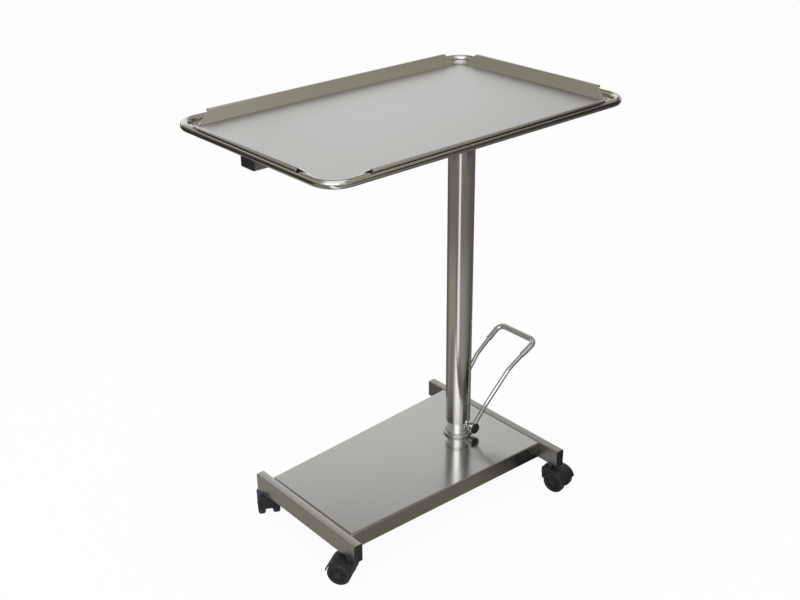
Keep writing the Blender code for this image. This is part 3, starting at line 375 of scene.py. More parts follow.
def smoothed(mesh, crease=CREASE):
    """The mesh with smooth sides, and edges that bend more than the crease left sharp."""
    mesh.shade_smooth()
    mesh.set_sharp_from_angle(angle=crease)
    return mesh


def closed_mesh(bm):
    """The mesh of a bmesh, with outward faces and smooth sides."""
    bmesh.ops.recalc_face_normals(bm, faces=bm.faces)
    return smoothed(plain_mesh(bm))


def standing(at, along):
    """Matrix that puts a Z axis at a place and along a direction."""
    return Matrix.Translation(at) @ Z_AXIS.rotation_difference(Vector(along)).to_matrix().to_4x4()


def turned(profile, facets, place=Matrix()):
    """(radius, height) points turned about Z: a closed loop, or a chain from axis to axis."""
    bm = bmesh.new()
    rings = []
    for radius, height in profile:
        angles = round_angles(facets) if radius > 0.0 else [0.0]
        rings.append([bm.verts.new(place @ Vector((radius * math.cos(a), radius * math.sin(a), height)))
                      for a in angles])
    pairs = list(zip(rings, rings[1:]))
    if profile[0][0] > 0.0:
        pairs.append((rings[-1], rings[0]))
    for low, high in pairs:
        for i in range(facets):
            j = (i + 1) % facets
            corners = (low[i % len(low)], low[j % len(low)], high[j % len(high)], high[i % len(high)])
            bm.faces.new(dict.fromkeys(corners))
    return closed_mesh(bm)


def rod(radius, low, high):
    """Profile of a plain round rod."""
    return [(0.0, low), (radius, low), (radius, high), (0.0, high)]


def eased(points, radius, steps=CORNER_STEPS):
    """A chain of (radius, height) points with each inner corner rounded; ends stay."""
    most = 0.45
    made = [points[0]]
    for before, corner, after in zip(points, points[1:], points[2:]):
        here = Vector(corner)
        into, out = Vector(before) - here, Vector(after) - here
        reach = min(radius, into.length * most, out.length * most)
        start, end = here + into.normalized() * reach, here + out.normalized() * reach
        for share in shares(steps):
            bend = start.lerp(here, share).lerp(here.lerp(end, share), share)
            made.append((bend.x, bend.y))
    return made + [points[-1]]


def eased_loop(points, radius, steps=CORNER_STEPS):
    """A closed loop of (radius, height) points with every corner rounded."""
    chain = [points[-1]] + list(points) + [points[0]]
    return eased(chain, radius, steps)[1:-1]


def pipe(inner, outer, foot, top, ease):
    """Profile of a round tube's wall, with eased edges."""
    return eased_loop([(inner, foot), (outer, foot), (outer, top), (inner, top)], ease)


def lofted(loops, tube=False, place=Matrix()):
    """Loops of points of equal count, bridged in turn; capped, or closed on itself."""
    bm = bmesh.new()
    rows = [[bm.verts.new(place @ Vector(point)) for point in loop] for loop in loops]
    pairs = list(zip(rows, rows[1:]))
    if tube:
        pairs.append((rows[-1], rows[0]))
    else:
        bm.faces.new(rows[0])
        bm.faces.new(rows[-1])
    for low, high in pairs:
        for i in range(len(low)):
            j = (i + 1) % len(low)
            bm.faces.new((low[i], low[j], high[j], high[i]))
    return closed_mesh(bm)


def soft_edges(low, high, ease):
    """(level, inset) of a slab's loops, with both its edges rounded."""
    near = [(low, ease), (low + 0.3 * ease, 0.3 * ease), (low + ease, 0.0)]
    return near + [(low + high - level, inset) for level, inset in reversed(near)]


def rounded_rectangle(length, width, corner, level):
    """Outline at one height, anticlockwise, with the corners as arcs."""
    points = []
    for quarter, (sx, sy) in enumerate(((1, 1), (-1, 1), (-1, -1), (1, -1))):
        for share in shares(ARC_STEPS):
            angle = math.pi / 2 * (quarter + share)
            points.append((sx * (length / 2 - corner) + corner * math.cos(angle),
                           sy * (width / 2 - corner) + corner * math.sin(angle), level))
    return points


def filleted(points, radii, steps):
    """A route with each inner corner replaced by an arc."""
    route = [points[0]]
    for before, corner, after, radius in zip(points, points[1:], points[2:], radii):
        into, out = (before - corner).normalized(), (after - corner).normalized()
        half = into.angle(out) / 2
        centre = corner + (into + out).normalized() * (radius / math.sin(half))
        start = corner + into * (radius / math.tan(half)) - centre
        end = corner + out * (radius / math.tan(half)) - centre
        turn = start.angle(end)
        for share in shares(steps):
            arm = start * math.sin((1 - share) * turn) + end * math.sin(share * turn)
            route.append(centre + arm / math.sin(turn))
    return route + [points[-1]]


def hoop(centre, across, up, radius, count):
    """Points round a centre, in the plane of two directions."""
    return [centre + (across * math.cos(a) + up * math.sin(a)) * radius for a in round_angles(count)]


def show(name, mesh, material, body, nodes=()):
    """A finished piece at the origin: its finish, the body it rides on and the nodes it stands for."""
    piece = placed(name, mesh)
    mesh.name = name
    mesh.materials.clear()
    mesh.materials.append(material)
    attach(piece, body)
    if nodes:
        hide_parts(*nodes)


def settled(draft):
    """The plain mesh that a draft object's modifiers make; the draft goes."""
    bpy.context.view_layer.update()
    graph = bpy.context.evaluated_depsgraph_get()
    made = bpy.data.meshes.new_from_object(draft.evaluated_get(graph))
    draft.modifiers.clear()
    bpy.data.objects.remove(draft)
    return made


def modified(mesh, modifiers):
    """The mesh after a list of modifiers, each a type and its settings."""
    draft = placed("draft", mesh)
    for kind, settings in modifiers:
        change = draft.modifiers.new(kind.lower(), kind)
        for key, value in settings.items():
            setattr(change, key, value)
    return settled(draft)


def flat_middles(mesh, least, margin):
    """Give each big face a narrow border, so that its middle is shaded flat."""
    bm = bmesh.new()
    bm.from_mesh(mesh)
    big = [face for face in bm.faces if face.calc_area() > least]
    bmesh.ops.inset_individual(bm, faces=big, thickness=margin, use_even_offset=True)
    bm.to_mesh(mesh)
    bm.free()
    smoothed(mesh, FLAT_CREASE)


def carved(mesh, tools):
    """The mesh with the tool meshes cut out of it."""
    bodies = [placed("tool", tool) for tool in tools]
    made = modified(mesh, [("BOOLEAN", {"operation": "DIFFERENCE", "object": body}) for body in bodies])
    for body in bodies:
        bpy.data.objects.remove(body)
    return smoothed(made)


def joined(meshes):
    """Several closed meshes as one."""
    bm = bmesh.new()
    for mesh in meshes:
        bm.from_mesh(mesh)
    return plain_mesh(bm)


# Geometry Nodes

class Recipe(Graph):
    """A Geometry Nodes tree with named inputs, run on a mesh to give a plain mesh."""

    def __init__(self, name, inputs):
        tree = bpy.data.node_groups.new(name, "GeometryNodeTree")
        super().__init__(tree)
        tree.interface.new_socket("Geometry", in_out="INPUT", socket_type="NodeSocketGeometry")
        self.names = {}
        for key, kind in inputs.items():
            item = tree.interface.new_socket(key, in_out="INPUT", socket_type="NodeSocket" + kind)
            self.names[key] = item.identifier
        tree.interface.new_socket("Geometry", in_out="OUTPUT", socket_type="NodeSocketGeometry")
        source = self.node("NodeGroupInput").link.node
        self.given = {output.name: Socket(self, output) for output in source.outputs if output.name}

    def end(self, geometry):
        """Realize, shade smooth, set the material and give the result out."""
        real = self.node("GeometryNodeRealizeInstances", None, {0: geometry})
        smooth = self.node("GeometryNodeSetShadeSmooth", None, {"Geometry": real})
        dressed = self.node("GeometryNodeSetMaterial", None,
                            {"Geometry": smooth, "Material": self.given["Material"]})
        self.node("NodeGroupOutput", None, {0: dressed})
        return self

    def run(self, mesh, **values):
        """The plain mesh that the recipe makes of a mesh."""
        draft = placed("draft", mesh)
        change = draft.modifiers.new("recipe", "NODES")
        change.node_group = self.tree
        for key, value in values.items():
            change[self.names[key]] = value
        return settled(draft)


def route_mesh(points, closed=False, girths=None):
    """A chain of edges, with its share of the tube's radius at each point."""
    mesh = bpy.data.meshes.new("route")
    edges = [(i, i + 1) for i in range(len(points) - 1)] + ([(len(points) - 1, 0)] if closed else [])
    mesh.from_pydata([tuple(p) for p in points], edges, [])
    girth = mesh.attributes.new("girth", "FLOAT", "POINT")
    girth.data.foreach_set("value", girths or [1.0] * len(points))
    return mesh


def tube_recipe():
    """A round tube or rod along a route."""
    made = Recipe("bent_tube", {"Radius": "Float", "Sides": "Int", "Material": "Material"})
    curve = made.node("GeometryNodeMeshToCurve", None, {0: made.given["Geometry"]})
    girth = made.node("GeometryNodeInputNamedAttribute", {"data_type": "FLOAT"}, {"Name": "girth"})
    shaped = made.node("GeometryNodeSetCurveRadius", None, {"Curve": curve, "Radius": girth})
    profile = made.node("GeometryNodeCurvePrimitiveCircle", {"mode": "RADIUS"},
                        {"Resolution": made.given["Sides"], "Radius": made.given["Radius"]})
    return made.end(made.node("GeometryNodeCurveToMesh", None,
                              {"Curve": shaped, "Profile Curve": profile, "Fill Caps": True}))


def bead_recipe():
    """A weld bead along a route: overlapping ripples a pitch apart."""
    made = Recipe("weld_ripples", {"Pitch": "Float", "Width": "Float", "Material": "Material"})
    curve = made.node("GeometryNodeMeshToCurve", None, {0: made.given["Geometry"]})
    points = made.node("GeometryNodeResampleCurve", {"mode": "LENGTH"},
                       {"Curve": curve, "Length": made.given["Pitch"]})
    ripple = made.node("GeometryNodeMeshIcoSphere", None,
                       {"Radius": made.given["Width"], "Subdivisions": 2})
    run = made.node("GeometryNodeInputTangent")
    facing = made.node("FunctionNodeAlignRotationToVector", {"axis": "X"}, {"Vector": run})
    sockets = {"Points": points, "Instance": ripple, "Rotation": facing, "Scale": RIPPLE_SHAPE}
    return made.end(made.node("GeometryNodeInstanceOnPoints", None, sockets))


def spoke_recipe():
    """A shape repeated round the Z axis."""
    made = Recipe("round_repeat", {"Count": "Int", "Material": "Material"})
    points = made.node("GeometryNodePoints", None, {"Count": made.given["Count"]})
    number = made.node("GeometryNodeInputIndex")
    turn = made.node("ShaderNodeCombineXYZ", None, {2: number * (2.0 * math.pi) / made.given["Count"]})
    sockets = {"Points": points, "Instance": made.given["Geometry"], "Rotation": turn}
    return made.end(made.node("GeometryNodeInstanceOnPoints", None, sockets))


bent_tube, weld_ripples, round_repeat = tube_recipe(), bead_recipe(), spoke_recipe()


def bead(name, points, body, width, closed=False):
    """A weld bead piece along a route."""
    mesh = weld_ripples.run(route_mesh(points, closed), Pitch=width * RIPPLE_PITCH, Width=width,
                            Material=weld_bead)
    show(name, mesh, weld_bead, body)


# Base

def box_tube(across, up, length, place):
    """Rectangular tube along Z, with rounded corners inside and out."""
    wall = 2 * TUBE_WALL
    levels = (-length / 2, length / 2)
    outer = [rounded_rectangle(across, up, TUBE_CORNER, level) for level in levels]
    inner = [rounded_rectangle(across - wall, up - wall, TUBE_CORNER - TUBE_WALL, level)
             for level in levels]
    return lofted(outer + inner[::-1], True, place)


def tube_plug(across, up, place):
    """Push-in end plug with an eased, slightly crowned cap."""
    spigot, ease = 2 * (TUBE_WALL + CLEAR), EASE["plug"]
    sizes = [(5 * ease, TUBE_CORNER, -PLUG_CAP - PLUG_CROWN / 2)]
    for share in shares(CORNER_STEPS):
        angle = math.pi / 2 * share
        inset = ease * (1.0 - math.sin(angle))
        sizes.append((2 * inset, TUBE_CORNER, -PLUG_CAP + ease * (1.0 - math.cos(angle))))
    sizes.append((0.0, TUBE_CORNER, -CLEAR))
    sizes += [(spigot, TUBE_CORNER - TUBE_WALL, level) for level in (-CLEAR, PLUG_DEPTH)]
    return lofted([rounded_rectangle(across - less, up - less, corner, level)
                   for less, corner, level in sizes], False, place)


def plugged_tube(node, steel, body, across, up, run, centre, along, plugs):
    """A box tube that stands for a node, and a black plug in each of its ends."""
    mesh = box_tube(across, up, run, standing(centre, along))
    show(node + "_tube", mesh, steel, body, [node])
    for way, plug in plugs:
        mesh = tube_plug(across, up, standing(centre + along * (way * run / 2), along * -way))
        show(plug + "_cap", mesh, black_plug, body, [plug])


def base_plate():
    """Folded sheet with a tapered top and a skirt all round."""
    top = [(PLATE_FRONT, -PLATE_FRONT_WIDTH / 2), (PLATE_REAR, -PLATE_REAR_WIDTH / 2),
           (PLATE_REAR, PLATE_REAR_WIDTH / 2), (PLATE_FRONT, PLATE_FRONT_WIDTH / 2)]
    bm = bmesh.new()
    upper = [bm.verts.new((x, y, PLATE_TOP)) for x, y in top]
    lower = [bm.verts.new((x, y, PLATE_TOP - PLATE_SKIRT)) for x, y in top]
    bm.faces.new(upper)
    for i in range(4):
        j = (i + 1) % 4
        bm.faces.new((lower[i], lower[j], upper[j], upper[i]))
    folds = {"width": PLATE_BEND, "segments": PLATE_FOLD_STEPS}
    sheet = {"thickness": PLATE_SHEET, "offset": -1.0, "use_even_offset": True}
    mesh = modified(closed_mesh(bm), [("BEVEL", folds), ("SOLIDIFY", sheet)])
    flat_middles(mesh, *PLATE_FLAT)
    show("base_plate_sheet", mesh, base_sheet, "base", ["base_plate"])


def beams():
    """Two cross beams with their end plugs."""
    # The rear beam takes the darker copy of the steel, whose colour is painted shade.
    for end, steel in (("front", beam_steel), ("rear", rear_steel)):
        centre = Vector((BEAM_PLACES[end], 0.0, CASTOR_HEIGHT + BEAM_HEIGHT / 2))
        plugs = [(-side, "beam_plug_%s_%s" % (end, word)) for side, word in SIDES]
        plugged_tube(end + "_beam", steel, "base", BEAM_WIDTH, BEAM_HEIGHT,
                     BEAM_LENGTHS[end] - 2 * PLUG_CAP, centre, -Y_AXIS, plugs)


# Castors

def wheel_mesh():
    """Wheel turned about Z, inner face on Z = 0: round tread edges, and spokes in a sunk outer face."""
    edge, bore = WHEEL_EDGE, AXLE_RADIUS + CLEAR
    shoulder, floor = WHEEL_RADIUS - edge, WHEEL_WIDTH - WHEEL_DISH
    angles = [math.pi / 2 * share for share in shares(EDGE_STEPS)]
    profile = [(bore, 0.0)]
    profile += [(shoulder + edge * math.sin(a), edge - edge * math.cos(a)) for a in angles]
    profile += [(shoulder + edge * math.cos(a), WHEEL_WIDTH - edge + edge * math.sin(a)) for a in angles]
    face = [(shoulder, WHEEL_WIDTH), (WHEEL_RIM, WHEEL_WIDTH), (WHEEL_RIM - DISH_DRAFT, floor),
            (WHEEL_HUB + DISH_DRAFT, floor), (WHEEL_HUB, WHEEL_WIDTH), (bore, WHEEL_WIDTH)]
    rim = turned(profile + eased(face, EASE["dish"], FINE_CORNER_STEPS)[1:], FACETS["wheel"])
    low, high = floor - SPOKE_SINK, WHEEL_WIDTH - SPOKE_LAP
    inner, outer = WHEEL_HUB - SPOKE_LAP, WHEEL_RIM + SPOKE_LAP
    levels = ((SPOKE_HALF * 1.3, low), (SPOKE_HALF, high - SPOKE_LAP), (SPOKE_HALF * 0.7, high))
    spoke = lofted([[(inner, -y, z), (outer, -y, z), (outer, y, z), (inner, y, z)] for y, z in levels])
    spokes = round_repeat.run(spoke, Count=SPOKE_COUNT, Material=wheel_tread)
    cap = turned([(radius, WHEEL_WIDTH + rise) for radius, rise in HUB_CAP], FACETS["hub_cap"])
    return joined([rim, spokes, cap])


def mark_rolled(mesh, centre, along):
    """Note on each vertex how far it is on the tread."""
    mark = mesh.attributes.new("rolled", "FLOAT", "POINT")
    values = []
    for vertex in mesh.vertices:
        arm = vertex.co - centre
        radius = (arm - along * arm.dot(along)).length
        values.append(min(max((radius - WHEEL_RADIUS + ROLLED_START) / ROLLED_FADE, 0.0), 1.0))
    mark.data.foreach_set("value", values)


def hood_mesh():
    """Moulded hood, its stem at the origin: an arch over both wheels, a web between them and a boss."""
    arch = WHEEL_RADIUS + HOOD_GAP + HOOD_WALL
    axle_x, axle_z = -CASTOR_TRAIL, WHEEL_RADIUS
    top, crown = CASTOR_HEIGHT - COLLAR_HEIGHT - 2 * CLEAR, axle_z + arch
    back = math.pi - math.asin(HOOD_DROP / arch)
    angles = [back + (math.pi / 2 - back) * share for share in shares(HOOD_STEPS)]
    outline = [(axle_x + arch * math.cos(a), axle_z + arch * math.sin(a)) for a in angles]
    foot = axle_z - HOOD_FOOT
    shoulder = [(axle_x, crown), (-HOOD_BOSS, crown), (-HOOD_BOSS, top), (HOOD_BOSS, top),
                (HOOD_BOSS, axle_z + HOOD_NOSE), (HOOD_BOSS - HOOD_WALL, axle_z),
                (axle_x + HOOD_FOOT, foot), (axle_x - HOOD_FOOT, foot), outline[0]]
    outline += eased(shoulder, EASE["shoulder"])[1:-1]
    half, ease = HOOD_WEB / 2 + CLEAR + WHEEL_WIDTH, EASE["hood"]
    centre = Vector((sum(x for x, z in outline), sum(z for x, z in outline))) / len(outline)
    loops = []
    for y, inset in soft_edges(-half, half, ease):
        loop = []
        for point in outline:
            arm = Vector(point) - centre
            pulled = centre + arm * (1.0 - inset / max(arm.length, ease))
            loop.append((pulled.x, y, pulled.y))
        loops.append(loop)
    pocket = rod(WHEEL_RADIUS + HOOD_GAP, 0.0, WHEEL_WIDTH + HOOD_WALL)
    tools = []
    for side in (1, -1):
        cheek = (axle_x, side * HOOD_WEB / 2, axle_z)
        tools.append(turned(pocket, FACETS["pocket"], standing(cheek, side * Y_AXIS)))
    bores = ((STEM_RADIUS, STEM_DEPTH + CLEAR, (0.0, 0.0, top), Z_AXIS),
             (AXLE_RADIUS, HOOD_WEB, (axle_x, 0.0, axle_z), Y_AXIS))
    for size, reach, at, along in bores:
        tools.append(turned(rod(size + CLEAR, -reach, reach), FACETS["bore"], standing(at, along)))
    return carved(lofted(loops), tools)


def castors():
    """Four swivel castors, each a stem in the beam, a hood and two wheels."""
    hood, wheel = hood_mesh(), wheel_mesh()
    seat = CASTOR_HEIGHT - CLEAR
    foot, top = seat - COLLAR_HEIGHT, CASTOR_HEIGHT + STEM_RISE
    stem = eased([(0.0, foot - STEM_DEPTH), (STEM_RADIUS, foot - STEM_DEPTH), (STEM_RADIUS, foot),
                  (COLLAR_RADIUS, foot), (COLLAR_RADIUS, seat), (STEM_RADIUS, seat),
                  (STEM_RADIUS, top), (0.0, top)], EASE["stem"], FINE_CORNER_STEPS)
    for end, length in BEAM_LENGTHS.items():
        for side, word in SIDES:
            corner = "%s_%s" % (end, word)
            place = Matrix.Translation((BEAM_PLACES[end], side * (length / 2 - CASTOR_INSET), 0.0))
            name = "castor_stem_" + corner
            show(name + "_pin", turned(stem, FACETS["stem"], place), zinc, "base", [name])
            swung = place @ Matrix.Rotation(math.radians(CASTOR_HEADINGS[corner] - 180.0), 4, "Z")
            name, mesh = "castor_hood_" + corner, hood.copy()
            mesh.transform(swung)
            show(name + "_shell", mesh, black_moulding, "castor_" + corner, [name])
            axle = swung @ Matrix.Translation((-CASTOR_TRAIL, 0.0, WHEEL_RADIUS))
            along = (axle.to_3x3() @ Y_AXIS).normalized()
            for way, letter in ((1, "a"), (-1, "b")):
                name, mesh = "castor_wheel_%s_%s" % (corner, letter), wheel.copy()
                mesh.transform(axle @ standing((0.0, way * (HOOD_WEB / 2 + CLEAR), 0.0), way * Y_AXIS))
                mark_rolled(mesh, axle.translation, along)
                body = "wheel_%s_%s" % (corner, letter)
                show(name + "_disc", mesh, wheel_tread, body, [name])


# Column

def column():
    """Flange, pump housing, cylinder and the sleeve that rises over them."""
    upright = Matrix.Translation((COLUMN_X, 0.0, 0.0))
    inner, rise = HOUSING_RADIUS + CLEAR, COLUMN_FOOT + FLANGE_HEIGHT
    flange = eased_loop([(inner, COLUMN_FOOT), (FLANGE_RADIUS, COLUMN_FOOT),
                         (FLANGE_RADIUS, rise - FLANGE_CHAMFER), (FLANGE_RADIUS - FLANGE_CHAMFER, rise),
                         (inner, rise)], EASE["flange"])
    show("column_flange_ring", turned(flange, FACETS["column"], upright), beam_steel, "base",
         ["column_flange"])
    top = COLUMN_FOOT + HOUSING_HEIGHT
    ceiling = top - HOUSING_ROOF
    housing = [(0.0, ceiling), (HOUSING_CAVITY, ceiling), (HOUSING_CAVITY, COLUMN_FOOT),
               (HOUSING_RADIUS, COLUMN_FOOT), (HOUSING_RADIUS, top), (0.0, top)]
    bore = rod(BUSH_OUTER + CLEAR, -2 * HOUSING_RADIUS, 2 * HOUSING_RADIUS)
    block = carved(turned(housing, FACETS["column"], upright),
                   [turned(bore, FACETS["bush_bore"], standing(PIVOT, Y_AXIS))])
    show("pump_housing_body", block, neck_steel, "base", ["pump_housing"])
    cylinder = pipe(CYLINDER_BORE, HOUSING_RADIUS, CYLINDER_FOOT, CYLINDER_TOP, EASE["cylinder"])
    show("cylinder_tube_ground", turned(cylinder, FACETS["column"], upright), ground_steel, "base",
         ["cylinder_tube"])
    sleeve = pipe(SLEEVE_RADIUS - SLEEVE_WALL, SLEEVE_RADIUS, SLEEVE_FOOT, SLEEVE_TOP, EASE["sleeve"])
    show("sleeve_tube_polished", turned(sleeve, FACETS["sleeve"], upright), column_tube, "top",
         ["sleeve_tube"])


def shaft_bushes():
    """Flanged bushes that carry the pedal shaft in the housing."""
    seat = math.sqrt(HOUSING_RADIUS ** 2 - (PIVOT.x - COLUMN_X - BUSH_OUTER) ** 2) + CLEAR
    start = BUSH_REACH - BUSH_LENGTH
    profile = eased_loop([(BUSH_INNER, start), (BUSH_OUTER, start), (BUSH_OUTER, seat),
                          (BUSH_FLANGE, seat), (BUSH_FLANGE, BUSH_REACH),
                          (BUSH_INNER, BUSH_REACH)], EASE["bush"], FINE_CORNER_STEPS)
    for side, word in SIDES:
        mesh = turned(profile, FACETS["bush"], standing(PIVOT, side * Y_AXIS))
        show("shaft_bush_%s_collar" % word, mesh, polished_tube, "base", ["shaft_bush_" + word])


# Tray and its carrier

def carrier():
    """Head plate, arm with its plugs, and the ring of bent tube."""
    level = SLEEVE_TOP + CLEAR
    loops = [rounded_rectangle(HEAD_LENGTH - 2 * inset, HEAD_WIDTH - 2 * inset, HEAD_CORNER - inset, rise)
             for rise, inset in soft_edges(0.0, HEAD_SHEET, EASE["head"])]
    mesh = lofted(loops, False, Matrix.Translation((COLUMN_X, 0.0, level)))
    show("head_plate_slab", mesh, beam_steel, "top", ["head_plate"])
    rim = hoop(Vector((COLUMN_X, 0.0, level - SLEEVE_WELD_DROP)), X_AXIS, Y_AXIS,
               SLEEVE_RADIUS + SLEEVE_WELD_OUT, HOOP["sleeve"])
    bead("sleeve_weld", rim, "top", WELD["sleeve"], True)
    # The arm takes the darker copy of the steel, whose colour is painted shade.
    plugged_tube("support_arm", arm_steel, "top", ARM_HEIGHT, ARM_WIDTH, 2 * (ARM_HALF_LENGTH - PLUG_CAP),
                 Vector((0.0, 0.0, ARM_TOP - ARM_HEIGHT / 2)), X_AXIS,
                 [(way, "arm_plug_" + word) for way, word in ENDS])
    x, y, z = RING_HALF_LENGTH, RING_HALF_WIDTH, RING_HEIGHT
    corners = [Vector((*c, z)) for c in ((x, 0), (x, y), (-x, y), (-x, -y), (x, -y), (x, 0))]
    route = filleted(corners, [RING_BEND] * 4, RING_STEPS)[:-1]
    mesh = bent_tube.run(route_mesh(route, True), Radius=RING_RADIUS - RING_SKIN, Sides=FACETS["ring"],
                         Material=polished_tube)
    show("ring_frame_tube", mesh, polished_tube, "top", ["ring_frame"])
    seam = hoop(Vector((x, 0.0, z)), X_AXIS, Z_AXIS, RING_RADIUS - SEAM_BED, HOOP["seam"])
    bead("ring_seam_weld", seam, "top", WELD["seam"], True)
    edge, crest = ARM_WIDTH / 2 - ARM_WELD_EDGE, ARM_TOP + ARM_WELD_HIGH
    for side, word in ENDS:
        for way, hand in SIDES:
            inner, outer = side * (x - ARM_WELD_IN), side * (x + ARM_WELD_OUT)
            line = [Vector((outer, way * edge, ARM_TOP + ARM_WELD_LOW)),
                    Vector((inner, way * edge, crest)), Vector((inner, way * ARM_WELD_STOP, crest))]
            bead("arm_weld_%s_%s" % (word, hand), line, "top", WELD["arm"])
    edge, crest = ARM_WIDTH / 2 + HEAD_WELD_LIFT, level + HEAD_SHEET + HEAD_WELD_LIFT
    for way, hand in SIDES:
        line = [Vector((COLUMN_X + end * HEAD_WELD_HALF, way * edge, crest)) for end in (-1, 1)]
        bead("head_weld_" + hand, line, "top", WELD["head"])


def pan_inward(height):
    """Inward reach of a flared edge's middle surface at a height, both from the ring's centre line."""
    return (RING_RADIUS + CLEAR + PAN_SHEET / 2 - height * math.cos(PAN_FLARE)) / math.sin(PAN_FLARE)


def pan_bend():
    """(inward, up) points of the bend between the floor and a flared edge."""
    floor = ARM_TOP + CLEAR + PAN_SHEET / 2 - RING_HEIGHT
    start = pan_inward(floor) + PAN_BEND * math.tan(PAN_FLARE / 2)
    angles = [PAN_FLARE * share for share in shares(PAN_BEND_STEPS)]
    return [(start - PAN_BEND * math.sin(a), floor + PAN_BEND * (1 - math.cos(a))) for a in angles]


def pan_roll():
    """(inward, up) points of a wall's top edge, which curls over to point straight down."""
    middle = PAN_RISE - PAN_ROLL
    centre = pan_inward(middle + PAN_ROLL * math.cos(PAN_FLARE)) - PAN_ROLL * math.sin(PAN_FLARE)
    angles = [PAN_FLARE - (PAN_FLARE + math.pi / 2) * share for share in shares(PAN_ROLL_STEPS)]
    return [(centre + PAN_ROLL * math.sin(a), middle + PAN_ROLL * math.cos(a)) for a in angles]


def tray_pan():
    """Loose sheet pan: flat floor, four flared walls rolled over the ring, a flared tab at each corner."""
    bm = bmesh.new()
    bend, roll = pan_bend(), pan_roll()
    foot, floor = bend[0]
    cut_line = foot + PAN_NOTCH
    border = []
    spans = [(RING_HALF_WIDTH, RING_HALF_LENGTH), (RING_HALF_LENGTH, RING_HALF_WIDTH)] * 2
    cuts = list(PAN_ENDS.values())

    def wall_end(cut, height):
        """How far from the ring's corner a wall ends at a height."""
        return cut[0] + cut[1] * (height - floor) / (PAN_RISE - floor)

    for number, (run, span) in enumerate(spans):
        turn = Matrix.Rotation(math.pi / 2 * number, 3, "Z")
        before, here = cuts[number - 1], cuts[number]
        inset, tab = here[0], here[0] - PAN_SLOT

        def point(x, y, z):
            """A vertex by its reach from this wall, from its end and from the ring's centre line."""
            return bm.verts.new(turn @ Vector((span - x, run - y, z)) + Z_AXIS * RING_HEIGHT)

        rows, top = [], floor
        for inward, height in bend + roll:
            top = max(top, height)
            ends = 2 * run - wall_end(before, top), wall_end(here, top)
            rows.append([point(inward, end, height) for end in ends])
        for low, high in zip(rows, rows[1:]):
            bm.faces.new((low[0], high[0], high[1], low[1]))
        border += rows[0] + [point(cut_line, inset, floor), point(cut_line, tab, floor)]
        rows = []
        for inward, height in bend + [(pan_inward(PAN_TAB_RISE), PAN_TAB_RISE)]:
            arm, start = RING_BEND - inward, wall_end(here, height) - PAN_SLOT
            first = math.asin(max(RING_BEND - start, 0.0) / arm)
            angles = [first + (math.pi / 2 - 2 * first) * share for share in shares(TAB_STEPS)]
            row = [(RING_BEND - arm * math.cos(a), RING_BEND - arm * math.sin(a)) for a in angles]
            row[0], row[-1] = (row[0][0], start), (start, row[-1][1])
            rows.append([point(x, y, height) for x, y in row])
        for low, high in zip(rows, rows[1:]):
            for i in range(len(low) - 1):
                bm.faces.new((low[i], high[i], high[i + 1], low[i + 1]))
        border += rows[0] + [point(tab, cut_line, floor), point(inset, cut_line, floor)]
    bm.faces.new(border)
    sheet = {"thickness": PAN_SHEET, "offset": 0.0, "use_even_offset": True}
    ease = {"width": EASE["pan"], "segments": PAN_EDGE_STEPS, "limit_method": "ANGLE",
            "angle_limit": PAN_CREASE}
    mesh = modified(closed_mesh(bm), [("SOLIDIFY", sheet), ("BEVEL", ease)])
    flat_middles(mesh, *PAN_FLAT)
    show("tray_pan_sheet", mesh, tray_sheet, "tray", ["tray_pan"])


# Pedal

def pedal_route(side):
    """Corners of one leg's centre line, from the hub's rim to the crossbar's corner."""
    middle = (HUB_START + HUB_END) / 2

    def corner(place):
        return Vector((place[0] + COLUMN_X, side * place[1], place[2] + PLATE_TOP))

    bow = corner(LEG_BOW_AT) - PIVOT
    away = Vector((bow.x, 0.0, bow.z)).normalized()
    hub = PIVOT + away * (HUB_RADIUS - LEG_SINK) + Y_AXIS * (side * middle)
    return [hub] + [corner(at) for at in (LEG_BOW_AT, LEG_KNEE_AT, TREAD_FOOT_AT, TREAD_CORNER_AT)]


def cap_profile():
    """Black cap with a low dome and a pin into the hub."""
    face, root = HUB_END + CLEAR, HUB_END - CAP_PIN_DEPTH
    cap = [(0.0, root), (CAP_PIN, root), (CAP_PIN, face), (CAP_RADIUS, face)]
    for share in shares(DOME_STEPS):
        angle = math.pi / 2 * share
        cap.append((CAP_RADIUS * (CAP_FLAT + (1.0 - CAP_FLAT) * math.cos(angle)),
                    face + CAP_LENGTH * (CAP_STEP + (1.0 - CAP_STEP) * math.sin(angle))))
    return cap + [(0.0, face + CAP_LENGTH)]


